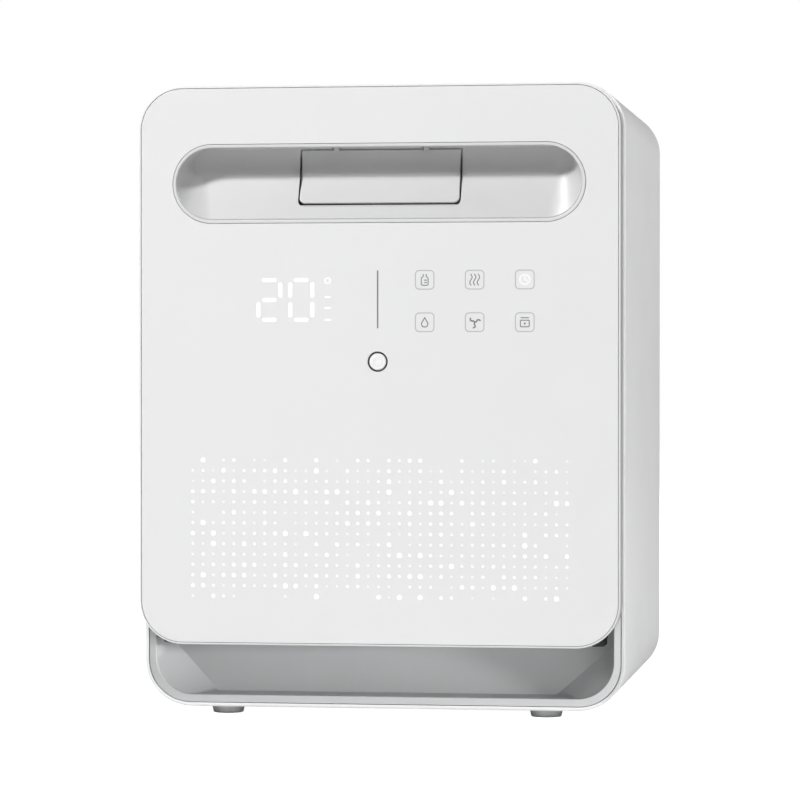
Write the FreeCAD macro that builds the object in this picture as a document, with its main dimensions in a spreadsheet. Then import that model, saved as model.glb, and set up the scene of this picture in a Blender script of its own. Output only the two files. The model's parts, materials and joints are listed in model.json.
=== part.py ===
"""Bottle sterilizer cabinet with a drop-down door, as a parametric assembly.

Millimetres. +X is the cabinet's right seen from the front, +Y its back, +Z up.
The origin is on the ground, in the middle of the cabinet's width and depth.
"""
import FreeCAD, Part
import math
import os
import re

import Sketcher
from FreeCAD import Placement, Rotation, Vector

SIZES = {
    # Outside of the cabinet
    "overall_width": 288.0,
    "overall_depth": 293.6,
    "overall_height": 374.8,
    "foot_rise": 4.5,
    "shell_wall": 2.2,
    "shell_corner": 27.6,
    "shell_chamfer": 1.0,
    "door_setback": 20.8,
    # Front bezel and the chamber behind it
    "bezel_inset": 4.5,
    "bezel_thick": 3.5,
    "bezel_low": 57.2,
    "mouth_half": 117.0,
    "mouth_low": 85.0,
    "mouth_high": 339.0,
    "liner_half": 120.0,
    "liner_low": 82.0,
    "liner_high": 342.0,
    "liner_back": 128.0,
    "liner_sheet": 0.8,
    "liner_corner": 15.0,
    "lower_rack_level": 104.0,
    "upper_rack_level": 222.0,
    "rail_width": 4.0,
    "rail_height": 4.0,
    # Open recess below the door
    "recess_half": 137.2,
    "recess_floor": 11.6,
    "recess_ceiling": 55.2,
    "recess_corner": 22.0,
    "recess_wall": 1.8,
    "trim_ends": 61.0,
    "trim_inset": 0.4,
    # Door
    "door_half": 142.9,
    "door_low": 43.1,
    "door_high": 373.0,
    "door_corner": 26.0,
    "door_thick": 19.5,
    "door_wall": 2.6,
    "door_lip": 1.2,
    "panel_thick": 2.0,
    "web_thick": 2.0,
    "door_inner_thick": 2.3,
    "hinge_depth": 18.8,
    "hinge_height": 48.0,
    "hinge_pin": 2.0,
    "hinge_clear": 0.05,
    "knuckle": 5.2,
    "bracket_inner": 125.0,
    "bracket_outer": 131.5,
    # Handle recess in the door
    "cup_half": 122.5,
    "cup_low": 292.2,
    "cup_high": 338.6,
    "cup_rim": 1.8,
    "cup_crease_level": 319.6,
    "cup_crease_depth": 12.6,
    "cup_top_depth": 15.4,
    "cup_wall": 1.2,
    "flap_half": 47.6,
    "flap_low": 304.0,
    "flap_sill_gap": 2.5,
    "flap_corner": 3.4,
    "flap_top": 335.6,
    "flap_thick": 2.2,
    "flap_back": 1.6,
    "flap_arm_inner": 25.2,
    "flap_barrel": 28.4,
    "flap_barrel_radius": 2.5,
    "flap_pin": 1.2,
    "flap_lug": 34.6,
    "flap_axis_depth": 10.3,
    "flap_axis_level": 341.0,
    # Latch above the handle recess
    "latch_axis_depth": 9.8,
    "latch_axis_level": 352.0,
    "hook_thick": 10.0,
    # Controls
    "button_level": 210.4,
    "button_radius": 5.0,
    "ring_radius": 5.9,
    "board_depth": 9.3,
    "icon_level_low": 233.5,
    "icon_level_high": 258.4,
    "icon_column": 57.4,
    "icon_pitch": 29.5,
    # Circulation fan in the lower compartment
    "fan_centre_x": -60.0,
    "fan_centre_level": 45.0,
    "fan_frame_size": 66.0,
    "fan_bore": 31.0,
    "fan_front": 99.5,
    "fan_deep": 25.0,
    # Feet
    "foot_place_x": 96.0,
    "foot_place_front": 35.0,
    "foot_place_back": 40.0,
    "foot_radius": 10.0,
    # Clearances and fasteners
    "slip_fit": 0.1,
    "panel_fit": 0.2,
    "screw_pilot": 1.3,
    "screw_pass": 1.7,
    "screw_head": 2.6,
    "cover_screw_head": 3.0,
    "cover_screw_side": 135.0,
    "strike_screw_side": 13.0,
    "strike_level": 360.0,
    "strike_sheet": 1.5,
    "door_screw_side": 133.0,
    # Back
    "stiffener_deep": 5.0,
    "stiffener_half": 129.0,
    "stiffener_low": 11.6,
    "stiffener_high": 360.0,
    "vent_near": 20.0,
    "vent_far": 90.0,
    "vent_level": 290.0,
    "vent_slot": 3.0,
    "vent_span": 45.0,
    # Chamber fittings
    "liner_flange": 6.0,
    "rail_front": -100.0,
    "rail_back": 108.0,
    "peg_foot": 9.0,
    "peg_foot_thick": 2.0,
    "peg_tall": 42.0,
    "tray_half": 104.0,
    "tray_front": -108.0,
    "tray_back": 22.0,
    "tray_tall": 8.0,
    "tray_wall": 1.2,
    "lamp_half": 84.0,
    "lamp_cap_half": 92.0,
    "lamp_holder_half": 104.0,
    "duct_front": 22.0,
    "duct_wall": 1.6,
    "base_sheet": 1.5,
    "board_low": 15.0,
    "board_high": 16.6,
    # Door
    "hinge_slot_near": 106.5,
    "hinge_slot_far": 132.1,
    "hinge_slot_above": 5.8,
    "seal_half": 128.0,
    "seal_width": 6.5,
    "seal_low": 71.0,
    "seal_high": 352.0,
    "seal_corner": 18.0,
    "latch_lug_near": 10.0,
    "latch_lug_far": 13.0,
    "latch_pin": 1.5,
    "key_pad": 3.6,
}

FRONT = "(-overall_depth / 2)"
BACK = "(overall_depth / 2)"
SHELL_FRONT = f"({FRONT} + door_setback)"
SHELL_HALF = "(overall_width / 2)"
INSIDE_HALF = "(overall_width / 2 - shell_wall)"
INSIDE_LOW = "(foot_rise + shell_wall)"
INSIDE_HIGH = "(overall_height - shell_wall)"
INSIDE_CORNER = "(shell_corner - shell_wall)"
BEZEL_FRONT = f"({SHELL_FRONT} + bezel_inset)"
BEZEL_BACK = f"({BEZEL_FRONT} + bezel_thick)"
DOOR_BACK = f"({FRONT} + door_thick)"
PANEL_BACK = f"({FRONT} + panel_thick)"
WEB_BACK = f"({PANEL_BACK} + web_thick)"
DOOR_INNER_FRONT = f"({DOOR_BACK} - door_inner_thick)"
BOARD_FRONT = f"({FRONT} + board_depth)"
HINGE_Y = f"({FRONT} + hinge_depth)"
REAR_PANEL_FRONT = f"({BACK} - 3.8)"
REAR_PANEL_BACK = f"({BACK} - 1.3)"
FAN_BACK = "(fan_front + fan_deep)"

os.makedirs("parts", exist_ok=True)
doc = FreeCAD.newDocument("BottleSterilizer")
sheet = doc.addObject("Spreadsheet::Sheet", "Sizes")
for row, (alias, value) in enumerate(SIZES.items(), start=1):
    sheet.set(f"A{row}", alias)
    sheet.set(f"B{row}", str(value))
    sheet.setAlias(f"B{row}", alias)
doc.recompute()

nodes = []


# ---------------------------------------------------------------- expressions

def link(text):
    """An expression whose size names point at the spreadsheet."""
    def pointed(word):
        name = word.group()
        return "Sizes." + name if name in SIZES else name
    return re.sub(r"[a-z_]{4,}", pointed, str(text))


def mm(text):
    """The value of an expression, in millimetres."""
    return float(doc.Sizes.evalExpression(link(text)))


def bind(thing, **settings):
    """Set each property from an expression; double underscores stand for dots."""
    for name, text in settings.items():
        thing.setExpression(name.replace("__", "."), link(text))
    return thing


def node(label, thing):
    """Name a finished sub-part."""
    thing.Label = label
    nodes.append(thing)
    return thing


# ---------------------------------------------------------- part design pieces

LOCAL = {"XZ_Plane": "-({0})", "XY_Plane": "{0}"}


def new_body(name):
    return doc.addObject("PartDesign::Body", name + "_body")


def new_sketch(body, role, level):
    """A sketch on one of the body's own origin planes, moved to a level."""
    plane = next(item for item in body.Origin.OriginFeatures if item.Role == role)
    sketch = body.newObject("Sketcher::SketchObject", body.Name + "_sketch")
    sketch.AttachmentSupport = [(plane, "")]
    sketch.MapMode = "FlatFace"
    return bind(sketch, AttachmentOffset__Base__z=LOCAL[role].format(level))


def constrain(sketch, name, text, *arguments):
    """Add one dimension whose value follows an expression."""
    kind, *places = arguments
    index = sketch.addConstraint(Sketcher.Constraint(kind, *places, mm(text)))
    sketch.renameConstraint(index, name)
    sketch.setExpression("Constraints." + name, link(text))


def rounded_outline(sketch, low_u, high_u, low_v, high_v, corner):
    """A rectangle with four equal round corners."""
    left, right, low, high, radius = (mm(text) for text in (low_u, high_u, low_v, high_v, corner))
    ends = [(left + radius, low), (right - radius, low), (right, low + radius), (right, high - radius),
            (right - radius, high), (left + radius, high), (left, high - radius), (left, low + radius)]
    centres = [(right - radius, low + radius), (right - radius, high - radius),
               (left + radius, high - radius), (left + radius, low + radius)]
    first = sketch.GeometryCount
    for side in range(4):
        sketch.addGeometry(Part.LineSegment(Vector(*ends[2 * side], 0), Vector(*ends[2 * side + 1], 0)))
        circle = Part.Circle(Vector(*centres[side], 0), Vector(0, 0, 1), radius)
        start = math.radians(90 * side - 90)
        sketch.addGeometry(Part.ArcOfCircle(circle, start, start + math.pi / 2))
    for edge in range(8):
        sketch.addConstraint(Sketcher.Constraint("Tangent", first + edge, 2, first + (edge + 1) % 8, 1))
    for edge, kind in ((0, "Horizontal"), (2, "Vertical"), (4, "Horizontal"), (6, "Vertical")):
        sketch.addConstraint(Sketcher.Constraint(kind, first + edge))
    for edge in (3, 5, 7):
        sketch.addConstraint(Sketcher.Constraint("Equal", first + 1, first + edge))
    mark = f"at{first}_"
    constrain(sketch, mark + "corner", corner, "Radius", first + 1)
    constrain(sketch, mark + "left", low_u, "DistanceX", -1, 1, first + 6, 1)
    constrain(sketch, mark + "right", high_u, "DistanceX", -1, 1, first + 2, 1)
    constrain(sketch, mark + "low", low_v, "DistanceY", -1, 1, first, 1)
    constrain(sketch, mark + "high", high_v, "DistanceY", -1, 1, first + 4, 1)


def circles(sketch, centres, radius):
    """Equal circles at pairs of expressions."""
    for across, up in centres:
        first = sketch.addGeometry(Part.Circle(Vector(mm(across), mm(up), 0), Vector(0, 0, 1), mm(radius)))
        constrain(sketch, f"across{first}", across, "DistanceX", -1, 1, first, 3)
        constrain(sketch, f"up{first}", up, "DistanceY", -1, 1, first, 3)
        constrain(sketch, f"radius{first}", radius, "Radius", first)


def pad(body, sketch, length, reverse=False):
    feature = body.newObject("PartDesign::Pad", body.Name + "_pad")
    feature.Profile = sketch
    feature.Reversed = reverse
    return bind(feature, Length=length)


def pocket(body, sketch, length):
    """Cut away from the sketch's normal and make sure that the cut removed something."""
    doc.recompute()
    before = body.Shape.Volume
    feature = body.newObject("PartDesign::Pocket", body.Name + "_pocket")
    feature.Profile = sketch
    bind(feature, Length=length)
    doc.recompute()
    if body.Shape.Volume >= before - 1e-6:
        raise RuntimeError("a pocket in " + body.Name + " cut nothing")
    return feature


def slab(body, half, low, high, corner, front, back):
    """A rounded plate, or block, between two depths."""
    sketch = new_sketch(body, "XZ_Plane", back)
    rounded_outline(sketch, f"-({half})", half, low, high, corner)
    return pad(body, sketch, f"{back} - {front}")


def opening(body, left, right, low, high, corner, front, back):
    """A rounded hole or hollow between two depths, cut towards the back."""
    sketch = new_sketch(body, "XZ_Plane", front)
    rounded_outline(sketch, left, right, low, high, corner)
    return pocket(body, sketch, f"{back} - {front}")


def drill(body, centres, radius, front, back):
    """Round holes along Y between two depths."""
    sketch = new_sketch(body, "XZ_Plane", front)
    circles(sketch, centres, radius)
    return pocket(body, sketch, f"{back} - {front}")


def repeat(body, feature, direction, length, count):
    """Repeat one cut in a row along the sketch's own axis."""
    row_of = body.newObject("PartDesign::LinearPattern", body.Name + "_row")
    row_of.Originals = [feature]
    row_of.Direction = (feature.Profile[0], [direction])
    row_of.Occurrences = count
    bind(row_of, Length=length)
    body.Tip = row_of
    doc.recompute()
    return row_of


# ------------------------------------------------------------ primitive pieces

def box(x, y, z):
    """A block between a pair of expressions along each axis."""
    block = doc.addObject("Part::Box", "Block")
    for size, axis, (low, high) in zip(("Length", "Width", "Height"), "xyz", (x, y, z)):
        block.setExpression(size, link(f"({high}) - ({low})"))
        block.setExpression("Placement.Base." + axis, link(low))
    return block


TURNS = {"x": Rotation(Vector(0, 1, 0), 90), "y": Rotation(Vector(1, 0, 0), -90), "z": Rotation()}


def rod(axis, radius, low, high, **centre):
    """A cylinder along an axis between two expressions; centre gives the other two coordinates."""
    bar = doc.addObject("Part::Cylinder", "Rod")
    bar.Placement = Placement(Vector(), TURNS[axis])
    bind(bar, Radius=radius, Height=f"({high}) - ({low})")
    for name, text in {axis: low, **centre}.items():
        bar.setExpression("Placement.Base." + name, link(text))
    return bar


def cut(base, *tools):
    result = doc.addObject("Part::Cut", "Cut")
    result.Base = base
    result.Tool = tools[0] if len(tools) == 1 else fuse(*tools)
    return result


def fuse(*pieces):
    result = doc.addObject("Part::MultiFuse", "Fuse")
    result.Shapes = list(pieces)
    return result


def group(*pieces):
    """Separate solids that share a node."""
    result = doc.addObject("Part::Compound", "Group")
    result.Links = list(pieces)
    return result


def feature(shape):
    """A shape made with Part's own functions."""
    result = doc.addObject("Part::Feature", "Shape")
    result.Shape = shape
    return result


def points(*pairs):
    """Vectors in the plane x = 0 from pairs of y and z."""
    return [Vector(0, y, z) for y, z in pairs]


def extruded(outline, low_x, high_x):
    """A closed outline in the YZ plane, extruded between two values of X."""
    face = Part.Face(Part.makePolygon(outline + outline[:1]))
    face.translate(Vector(low_x, 0, 0))
    return face.extrude(Vector(high_x - low_x, 0, 0))


def coil(radius, wire, turns, length):
    """A round-wire helix standing on the origin along Z."""
    path = Part.Wire(Part.makeHelix(length / turns, length, radius).Edges)
    section = Part.Wire([Part.Edge(Part.Circle(Vector(radius, 0, 0), Vector(0, 1, 0), wire / 2))])
    return path.makePipeShell([section], True, True)


def placed(shape, x, y, z, axis="z"):
    """A copy of a shape made along Z, turned along an axis and moved."""
    copy = shape.copy()
    copy.Placement = Placement(Vector(x, y, z), TURNS[axis])
    return copy


def screws(axis, places, head, shank, head_depth, shank_depth, drive=1.1):
    """Round-headed screws; each place is the seat under the head, on the low side of the axis."""
    made = []
    for x, y, z in places:
        spot = {"x": x, "y": y, "z": z}
        base = spot.pop(axis)
        cap = rod(axis, head, f"{base} - {head_depth}", base, **spot)
        stem = rod(axis, shank, base, f"{base} + {shank_depth}", **spot)
        socket = rod(axis, drive, f"{base} - {head_depth} - 1", f"{base} - {head_depth} / 2", **spot)
        made.append(cut(fuse(cap, stem), socket))
    return made


# ------------------------------------------------------------------ the cabinet

def outline_edges(shape, plane_y, half):
    """Names of the edges that lie in the plane y and belong to the outline as wide as half."""
    names = []
    for index, edge in enumerate(shape.Edges, start=1):
        limits = edge.BoundBox
        flat = abs(limits.YMin - plane_y) < 1e-4 and abs(limits.YMax - plane_y) < 1e-4
        outer = max(abs(limits.XMin), abs(limits.XMax)) > half - 0.5
        level = abs(limits.ZMin - mm("foot_rise")) < 1e-4 or abs(limits.ZMax - mm("overall_height")) < 1e-4
        if flat and (outer or level):
            names.append(f"Edge{index}")
    return names


def make_outer_shell():
    """Wrap-round shell, open at the front and the back."""
    body = new_body("outer_shell")
    slab(body, SHELL_HALF, "foot_rise", "overall_height", "shell_corner", SHELL_FRONT, BACK)
    opening(body, f"-{INSIDE_HALF}", INSIDE_HALF, INSIDE_LOW, INSIDE_HIGH, INSIDE_CORNER, SHELL_FRONT, BACK)
    sketch = new_sketch(body, "XY_Plane", f"{INSIDE_LOW} + 1")
    circles(sketch, foot_places(), "1.8")
    hollow = pocket(body, sketch, "shell_wall + 2")
    bevel = body.newObject("PartDesign::Chamfer", "outer_shell_bevel")
    bevel.Base = (hollow, outline_edges(body.Shape, mm(SHELL_FRONT), mm(SHELL_HALF)))
    bind(bevel, Size="shell_chamfer")
    node("outer_shell", body)


def foot_places():
    front = f"{FRONT} + foot_place_front"
    back = f"{BACK} - foot_place_back"
    return [(side + "foot_place_x", depth) for side in ("", "-") for depth in (front, back)]


def rear_screw_places():
    return [(f"{side}cover_screw_side", level) for side in ("", "-") for level in ("40", "190", "340")]


def strike_screw_places():
    return [(f"{side}strike_screw_side", "strike_level") for side in ("-", "")]


def lining_slab(body, fit, low, front, back):
    """A plate that fills the shell's inside, with a clearance all round."""
    slab(body, f"{INSIDE_HALF} - {fit}", low, f"{INSIDE_HIGH} - {fit}", f"{INSIDE_CORNER} - {fit}",
         front, back)


def make_rear_stiffener():
    """Ring that ties the shell together and takes the rear screws."""
    body = new_body("rear_stiffener")
    back = REAR_PANEL_FRONT
    front = f"({REAR_PANEL_FRONT} - stiffener_deep)"
    lining_slab(body, "slip_fit", f"{INSIDE_LOW} + slip_fit", front, back)
    opening(body, "-stiffener_half", "stiffener_half", "stiffener_low", "stiffener_high", "12", front, back)
    drill(body, rear_screw_places(), "screw_pilot", front, back)
    node("rear_stiffener", body)


def make_rear_panel():
    """Vented back cover with windows for the filter and the mains inlet."""
    body = new_body("rear_panel")
    front, back = REAR_PANEL_FRONT, REAR_PANEL_BACK
    lining_slab(body, "panel_fit", f"{INSIDE_LOW} + panel_fit", front, back)
    half = "fan_frame_size / 2"
    opening(body, f"fan_centre_x - {half}", f"fan_centre_x + {half}", f"fan_centre_level - {half}",
            f"fan_centre_level + {half}", "6.4", front, back)
    opening(body, "66", "94", "21", "41", "2", front, back)
    drill(body, rear_screw_places(), "screw_pass", front, back)
    for left, right in (("-vent_far", "-vent_near"), ("vent_near", "vent_far")):
        slot = opening(body, left, right, "vent_level", "vent_level + vent_slot", "1.4", front, back)
        repeat(body, slot, "V_Axis", "vent_span", 8)
    node("rear_panel", body)


def make_front_bezel():
    """Flat frame round the chamber's mouth, behind the door."""
    body = new_body("front_bezel")
    low = "bezel_low"
    lining_slab(body, "slip_fit", low, BEZEL_FRONT, BEZEL_BACK)
    sketch = new_sketch(body, "XZ_Plane", BEZEL_BACK)
    half = f"({INSIDE_HALF} - slip_fit)"
    rounded_outline(sketch, f"-{half}", half, low, "mouth_low + 25", "2")
    pad(body, sketch, "bezel_thick")
    opening(body, "-mouth_half", "mouth_half", "mouth_low", "mouth_high", "14", BEZEL_FRONT, BEZEL_BACK)
    opening(body, "-7.2", "7.2", "354", "366", "1", BEZEL_FRONT, BEZEL_BACK)
    pilot_end = f"({BEZEL_BACK} - 2.4)"
    drill(body, bezel_screw_places(), "screw_pilot", pilot_end, BEZEL_BACK)
    drill(body, strike_screw_places(), "screw_pilot", pilot_end, BEZEL_BACK)
    node("front_bezel", body)


def bezel_screw_places():
    sides = [(f"{side}123.2", level) for side in ("", "-") for level in ("120", "210", "300")]
    ends = [(across, level) for across in ("-70", "70") for level in ("78.8", "345.2")]
    return sides + ends


def recess_wire(grow, front, ceiling):
    """Outline of the lower recess at its mouth (front true) or along its sloping back wall."""
    floor = mm("recess_floor") - grow
    side = mm("recess_half") + grow
    mouth = mm(SHELL_FRONT) + mm("trim_inset")
    if front:
        radius = mm("recess_corner") + grow
        places = [(side, ceiling), (side, floor + radius), (side - radius, floor)]
        depth = [mouth] * 3
        middle = (side - radius * (1 - math.sqrt(0.5)), floor + radius * (1 - math.sqrt(0.5)))
    else:
        foot_level = floor + 1.2
        knee_level = 43.0 - grow * 0.4
        foot_x = 102.0 + grow * 0.4
        places = [(side, ceiling), (side, knee_level), (foot_x, foot_level)]
        depth = [mouth + 14.0 + grow + 0.91 * (level - foot_level) for _, level in places]
    right = [Vector(x, y, z) for (x, z), y in zip(places, depth)]
    left = [Vector(-spot.x, spot.y, spot.z) for spot in reversed(right)]
    edges = [Part.makeLine(right[0], right[1])]
    if front:
        edges.append(Part.Arc(right[1], Vector(middle[0], mouth, middle[1]), right[2]).toShape())
        edges.append(Part.makeLine(right[2], left[0]))
        edges.append(Part.Arc(left[0], Vector(-middle[0], mouth, middle[1]), left[1]).toShape())
    else:
        edges.append(Part.makeLine(right[1], right[2]))
        edges.append(Part.makeLine(right[2], left[0]))
        edges.append(Part.makeLine(left[0], left[1]))
    edges.append(Part.makeLine(left[1], left[2]))
    edges.append(Part.makeLine(left[2], right[0]))
    return Part.Wire(edges)


def make_lower_trim():
    """Grey insert: a U-shaped strip flush with the shell's front and the open recess inside it."""
    mouth = mm(SHELL_FRONT) + mm("trim_inset")
    wall = mm("recess_wall")
    ceiling = mm("recess_ceiling")
    hollow = Part.makeLoft([recess_wire(0, True, ceiling), recess_wire(0, False, ceiling)], True, True)
    tub = Part.makeLoft([recess_wire(wall, True, ceiling + wall), recess_wire(wall, False, ceiling + wall)],
                        True, True)
    inside, low, corner = (mm(text) for text in (INSIDE_HALF, INSIDE_LOW, INSIDE_CORNER))
    gap = 0.1
    face = Part.makeBox(2 * (inside - gap), 2.4, mm("trim_ends") - low - gap,
                        Vector(-inside + gap, mouth, low + gap))
    uprights = [edge for edge in face.Edges
                if edge.BoundBox.YLength > 2 and edge.BoundBox.ZMin < low + 1]
    strip = face.makeFillet(corner - gap, uprights)
    clear = Part.makeBox(2 * mm("recess_half"), 10, 40, Vector(-mm("recess_half"), mouth - 5, ceiling - 2))
    lead = recess_wire(0, True, ceiling)
    lead.translate(Vector(0, -1, 0))
    entry = Part.Face(lead).extrude(Vector(0, 1.5, 0))
    trim = strip.fuse(tub).cut(hollow).cut(entry).cut(clear)
    node("lower_trim", feature(trim.removeSplitter()))


def make_inner_liner():
    """Stainless chamber: a deep pan with a flange behind the bezel."""
    body = new_body("inner_liner")
    front = BEZEL_BACK
    slab(body, "liner_half + liner_flange", "liner_low - liner_flange", "liner_high + liner_flange",
         "liner_corner + 5", front, f"({front} + liner_sheet)")
    slab(body, "liner_half", "liner_low", "liner_high", "liner_corner", front, "liner_back")
    sheet_in = "liner_half - liner_sheet"
    opening(body, f"-({sheet_in})", sheet_in, "liner_low + liner_sheet", "liner_high - liner_sheet",
            "liner_corner - liner_sheet", front, "liner_back - liner_sheet")
    drill(body, bezel_screw_places(), "screw_pass", front, f"({front} + liner_sheet)")
    exhaust = drill(body, [("-63", "312")], "2", "(liner_back - 5)", "liner_back")
    repeat(body, exhaust, "H_Axis", "126", 15)
    sketch = new_sketch(body, "XY_Plane", "liner_low + liner_sheet")
    rounded_outline(sketch, "-86", "-82", "30", "70", "1.9")
    air_slot = pocket(body, sketch, "liner_sheet + 1")
    repeat(body, air_slot, "H_Axis", "50", 8)
    drill(body, [("80", "300")], "2.6", "(liner_back - 5)", "liner_back")
    node("inner_liner", body)


def make_rack_rails():
    """Two ledges on each side wall of the chamber."""
    rails = []
    wall = "(liner_half - liner_sheet)"
    for level in ("lower_rack_level", "upper_rack_level"):
        top = f"({level} - 1.8)"
        for across in ((f"{wall} - rail_width", wall), (f"-{wall}", f"-{wall} + rail_width")):
            rails.append(box(across, ("rail_front", "rail_back"), (f"{top} - rail_height", top)))
    node("rack_rails", group(*rails))


def make_rack(label, level):
    """Wire shelf: four frame rods and a row of cross wires over two runners."""
    half, front, back = 117.0, -97.0, 105.0
    thick, thin = 1.75, 1.2
    bars = [rod("x", thick, -half, half, y=place, z=level) for place in (front, back)]
    bars += [rod("y", thick, front, back, x=place, z=level) for place in (-half + thick, half - thick)]
    wires = 15
    margin = 10
    pitch = 2 * (half - margin) / (wires - 1)
    for index in range(wires):
        bars.append(rod("y", thin, front, back, x=-half + margin + index * pitch, z=f"{level} + 0.55"))
    runner_end = half - 3
    bars += [rod("x", thin, -runner_end, runner_end, y=place, z=f"{level} - 1") for place in (-30.0, 38.0)]
    node(label, fuse(*bars))


def make_bottle_pegs():
    """Plastic pegs that stand on the lower rack and hold bottles upside down."""
    pegs = []
    foot = "(lower_rack_level + 1.75)"
    for x in (-72.0, -24.0, 24.0, 72.0):
        for y in (-48.0, 56.0):
            disc = rod("z", "peg_foot", foot, f"{foot} + peg_foot_thick", x=x, y=y)
            stem = doc.addObject("Part::Cone", "Stem")
            bind(stem, Radius1="4.2", Radius2="2.6", Height="peg_tall")
            bind(stem, Placement__Base__x=x, Placement__Base__y=y)
            bind(stem, Placement__Base__z=f"{foot} + peg_foot_thick")
            pegs.append(fuse(disc, stem))
    node("bottle_pegs", group(*pegs))


def make_drip_tray():
    """Shallow removable tray under the lower rack."""
    body = new_body("drip_tray")
    floor = "(liner_low + liner_sheet)"
    sketch = new_sketch(body, "XY_Plane", floor)
    rounded_outline(sketch, "-tray_half", "tray_half", "tray_front", "tray_back", "10")
    pad(body, sketch, "tray_tall")
    sketch = new_sketch(body, "XY_Plane", f"{floor} + tray_tall")
    inner = "(tray_half - tray_wall)"
    rounded_outline(sketch, f"-{inner}", inner, "tray_front + tray_wall", "tray_back - tray_wall", "8.8")
    pocket(body, sketch, "tray_tall - tray_wall")
    node("drip_tray", body)


LAMP_LEVEL = "(liner_high - 14)"
LAMP_DEPTHS = ("-40", "60")


def make_lamps():
    """Two ultraviolet tubes under the chamber's ceiling, with caps, holders and reflectors."""
    tubes, caps, holders, reflectors = [], [], [], []
    ceiling = mm("liner_high - liner_sheet")
    for depth in LAMP_DEPTHS:
        tubes.append(rod("x", "5.5", "-lamp_half", "lamp_half", y=depth, z=LAMP_LEVEL))
        for side in (-1, 1):
            tube_end, cap_end = side * mm("lamp_half"), side * mm("lamp_cap_half")
            holder_end = side * mm("lamp_holder_half")
            near, far = sorted((tube_end, cap_end))
            caps.append(rod("x", "6.2", near, far, y=depth, z=LAMP_LEVEL))
            inner, outer = sorted((cap_end, holder_end))
            holders.append(box((inner, outer), (f"{depth} - 9", f"{depth} + 9"),
                               (f"{LAMP_LEVEL} - 7.5", "liner_high - liner_sheet")))
        middle = float(depth)
        wing = [(15, 6), (9, 0)]
        inside = [(8.6, 1), (14.3, 6.7)]
        outline = [(middle - out, ceiling - down) for out, down in wing]
        outline += [(middle + out, ceiling - down) for out, down in wing[::-1] + inside[::-1]]
        outline += [(middle - out, ceiling - down) for out, down in inside]
        reflectors.append(extruded(points(*outline), 1 - mm("lamp_cap_half"), mm("lamp_cap_half") - 1))
    node("uv_lamps", group(*tubes))
    node("lamp_caps", group(*caps))
    node("lamp_holders", group(*holders))
    node("lamp_reflectors", feature(Part.makeCompound(reflectors)))


def make_lamp_ballast():
    """Driver for the lamps, on top of the chamber."""
    case = box(("-60", "60"), ("-20", "24"), ("liner_high", "liner_high + 18"))
    ears = box(("-68", "68"), ("-6", "10"), ("liner_high", "liner_high + 1.5"))
    node("lamp_ballast", fuse(case, ears))


# ------------------------------------------------------- fan, heater and filter

def fan_square(grow):
    """Left, right, low and high of a square round the fan's axis."""
    half = f"(fan_frame_size / 2 + {grow})"
    return (f"fan_centre_x - {half}", f"fan_centre_x + {half}", f"fan_centre_level - {half}",
            f"fan_centre_level + {half}")


FAN_CENTRE = ("fan_centre_x", "fan_centre_level")


def make_fan_frame():
    """Square frame with a round bore, four corner holes and struts that carry the motor."""
    body = new_body("fan_frame")
    sketch = new_sketch(body, "XZ_Plane", FAN_BACK)
    rounded_outline(sketch, *fan_square(0), "4")
    pad(body, sketch, "fan_deep")
    drill(body, [FAN_CENTRE], "fan_bore", "fan_front", "(fan_front + fan_deep - 2.5)")
    drill(body, [(f"fan_centre_x {a} 28", f"fan_centre_level {b} 28") for a in "+-" for b in "+-"], "2.1",
          "fan_front", FAN_BACK)
    first = "(fan_front + fan_deep - 3)"
    window = new_sketch(body, "XZ_Plane", first)
    bind(window, AttachmentOffset__Base__x="fan_centre_x", AttachmentOffset__Base__y="fan_centre_level")
    fan_window(window)
    vent = pocket(body, window, "4")
    turn = body.newObject("PartDesign::PolarPattern", "fan_vents")
    turn.Originals = [vent]
    turn.Axis = (window, ["N_Axis"])
    turn.Occurrences = 4
    turn.Angle = 360
    body.Tip = turn
    doc.recompute()
    node("fan_frame", body)


def fan_window(sketch):
    """One quarter of the ring-shaped outlet between the struts, centred on the sketch's origin."""
    inner, outer, start, end = 14.5, mm("fan_bore"), math.radians(8), math.radians(82)
    ends = [Vector(r * math.cos(a), r * math.sin(a), 0) for r, a in
            ((inner, start), (outer, start), (outer, end), (inner, end))]
    middle = Vector()
    sketch.addGeometry(Part.LineSegment(ends[0], ends[1]))
    sketch.addGeometry(Part.ArcOfCircle(Part.Circle(middle, Vector(0, 0, 1), outer), start, end))
    sketch.addGeometry(Part.LineSegment(ends[2], ends[3]))
    sketch.addGeometry(Part.ArcOfCircle(Part.Circle(middle, Vector(0, 0, 1), inner), start, end))
    for one, at, other, there in ((0, 2, 1, 1), (1, 2, 2, 1), (2, 2, 3, 2), (3, 1, 0, 1)):
        sketch.addConstraint(Sketcher.Constraint("Coincident", one, at, other, there))
    sketch.addConstraint(Sketcher.Constraint("Coincident", 1, 3, 3, 3))
    sketch.addConstraint(Sketcher.Constraint("Coincident", 1, 3, -1, 1))
    constrain(sketch, "outer", "fan_bore", "Radius", 1)


def make_fan_motor():
    """Stator on the frame's hub, with a bore for the impeller's shaft."""
    stator = rod("y", "12", "fan_front + 6", f"{FAN_BACK} - 3", x=FAN_CENTRE[0], z=FAN_CENTRE[1])
    bore = rod("y", "1.55", "fan_front + 5", "fan_front + 19.5", x=FAN_CENTRE[0], z=FAN_CENTRE[1])
    node("fan_motor", cut(stator, bore))


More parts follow.
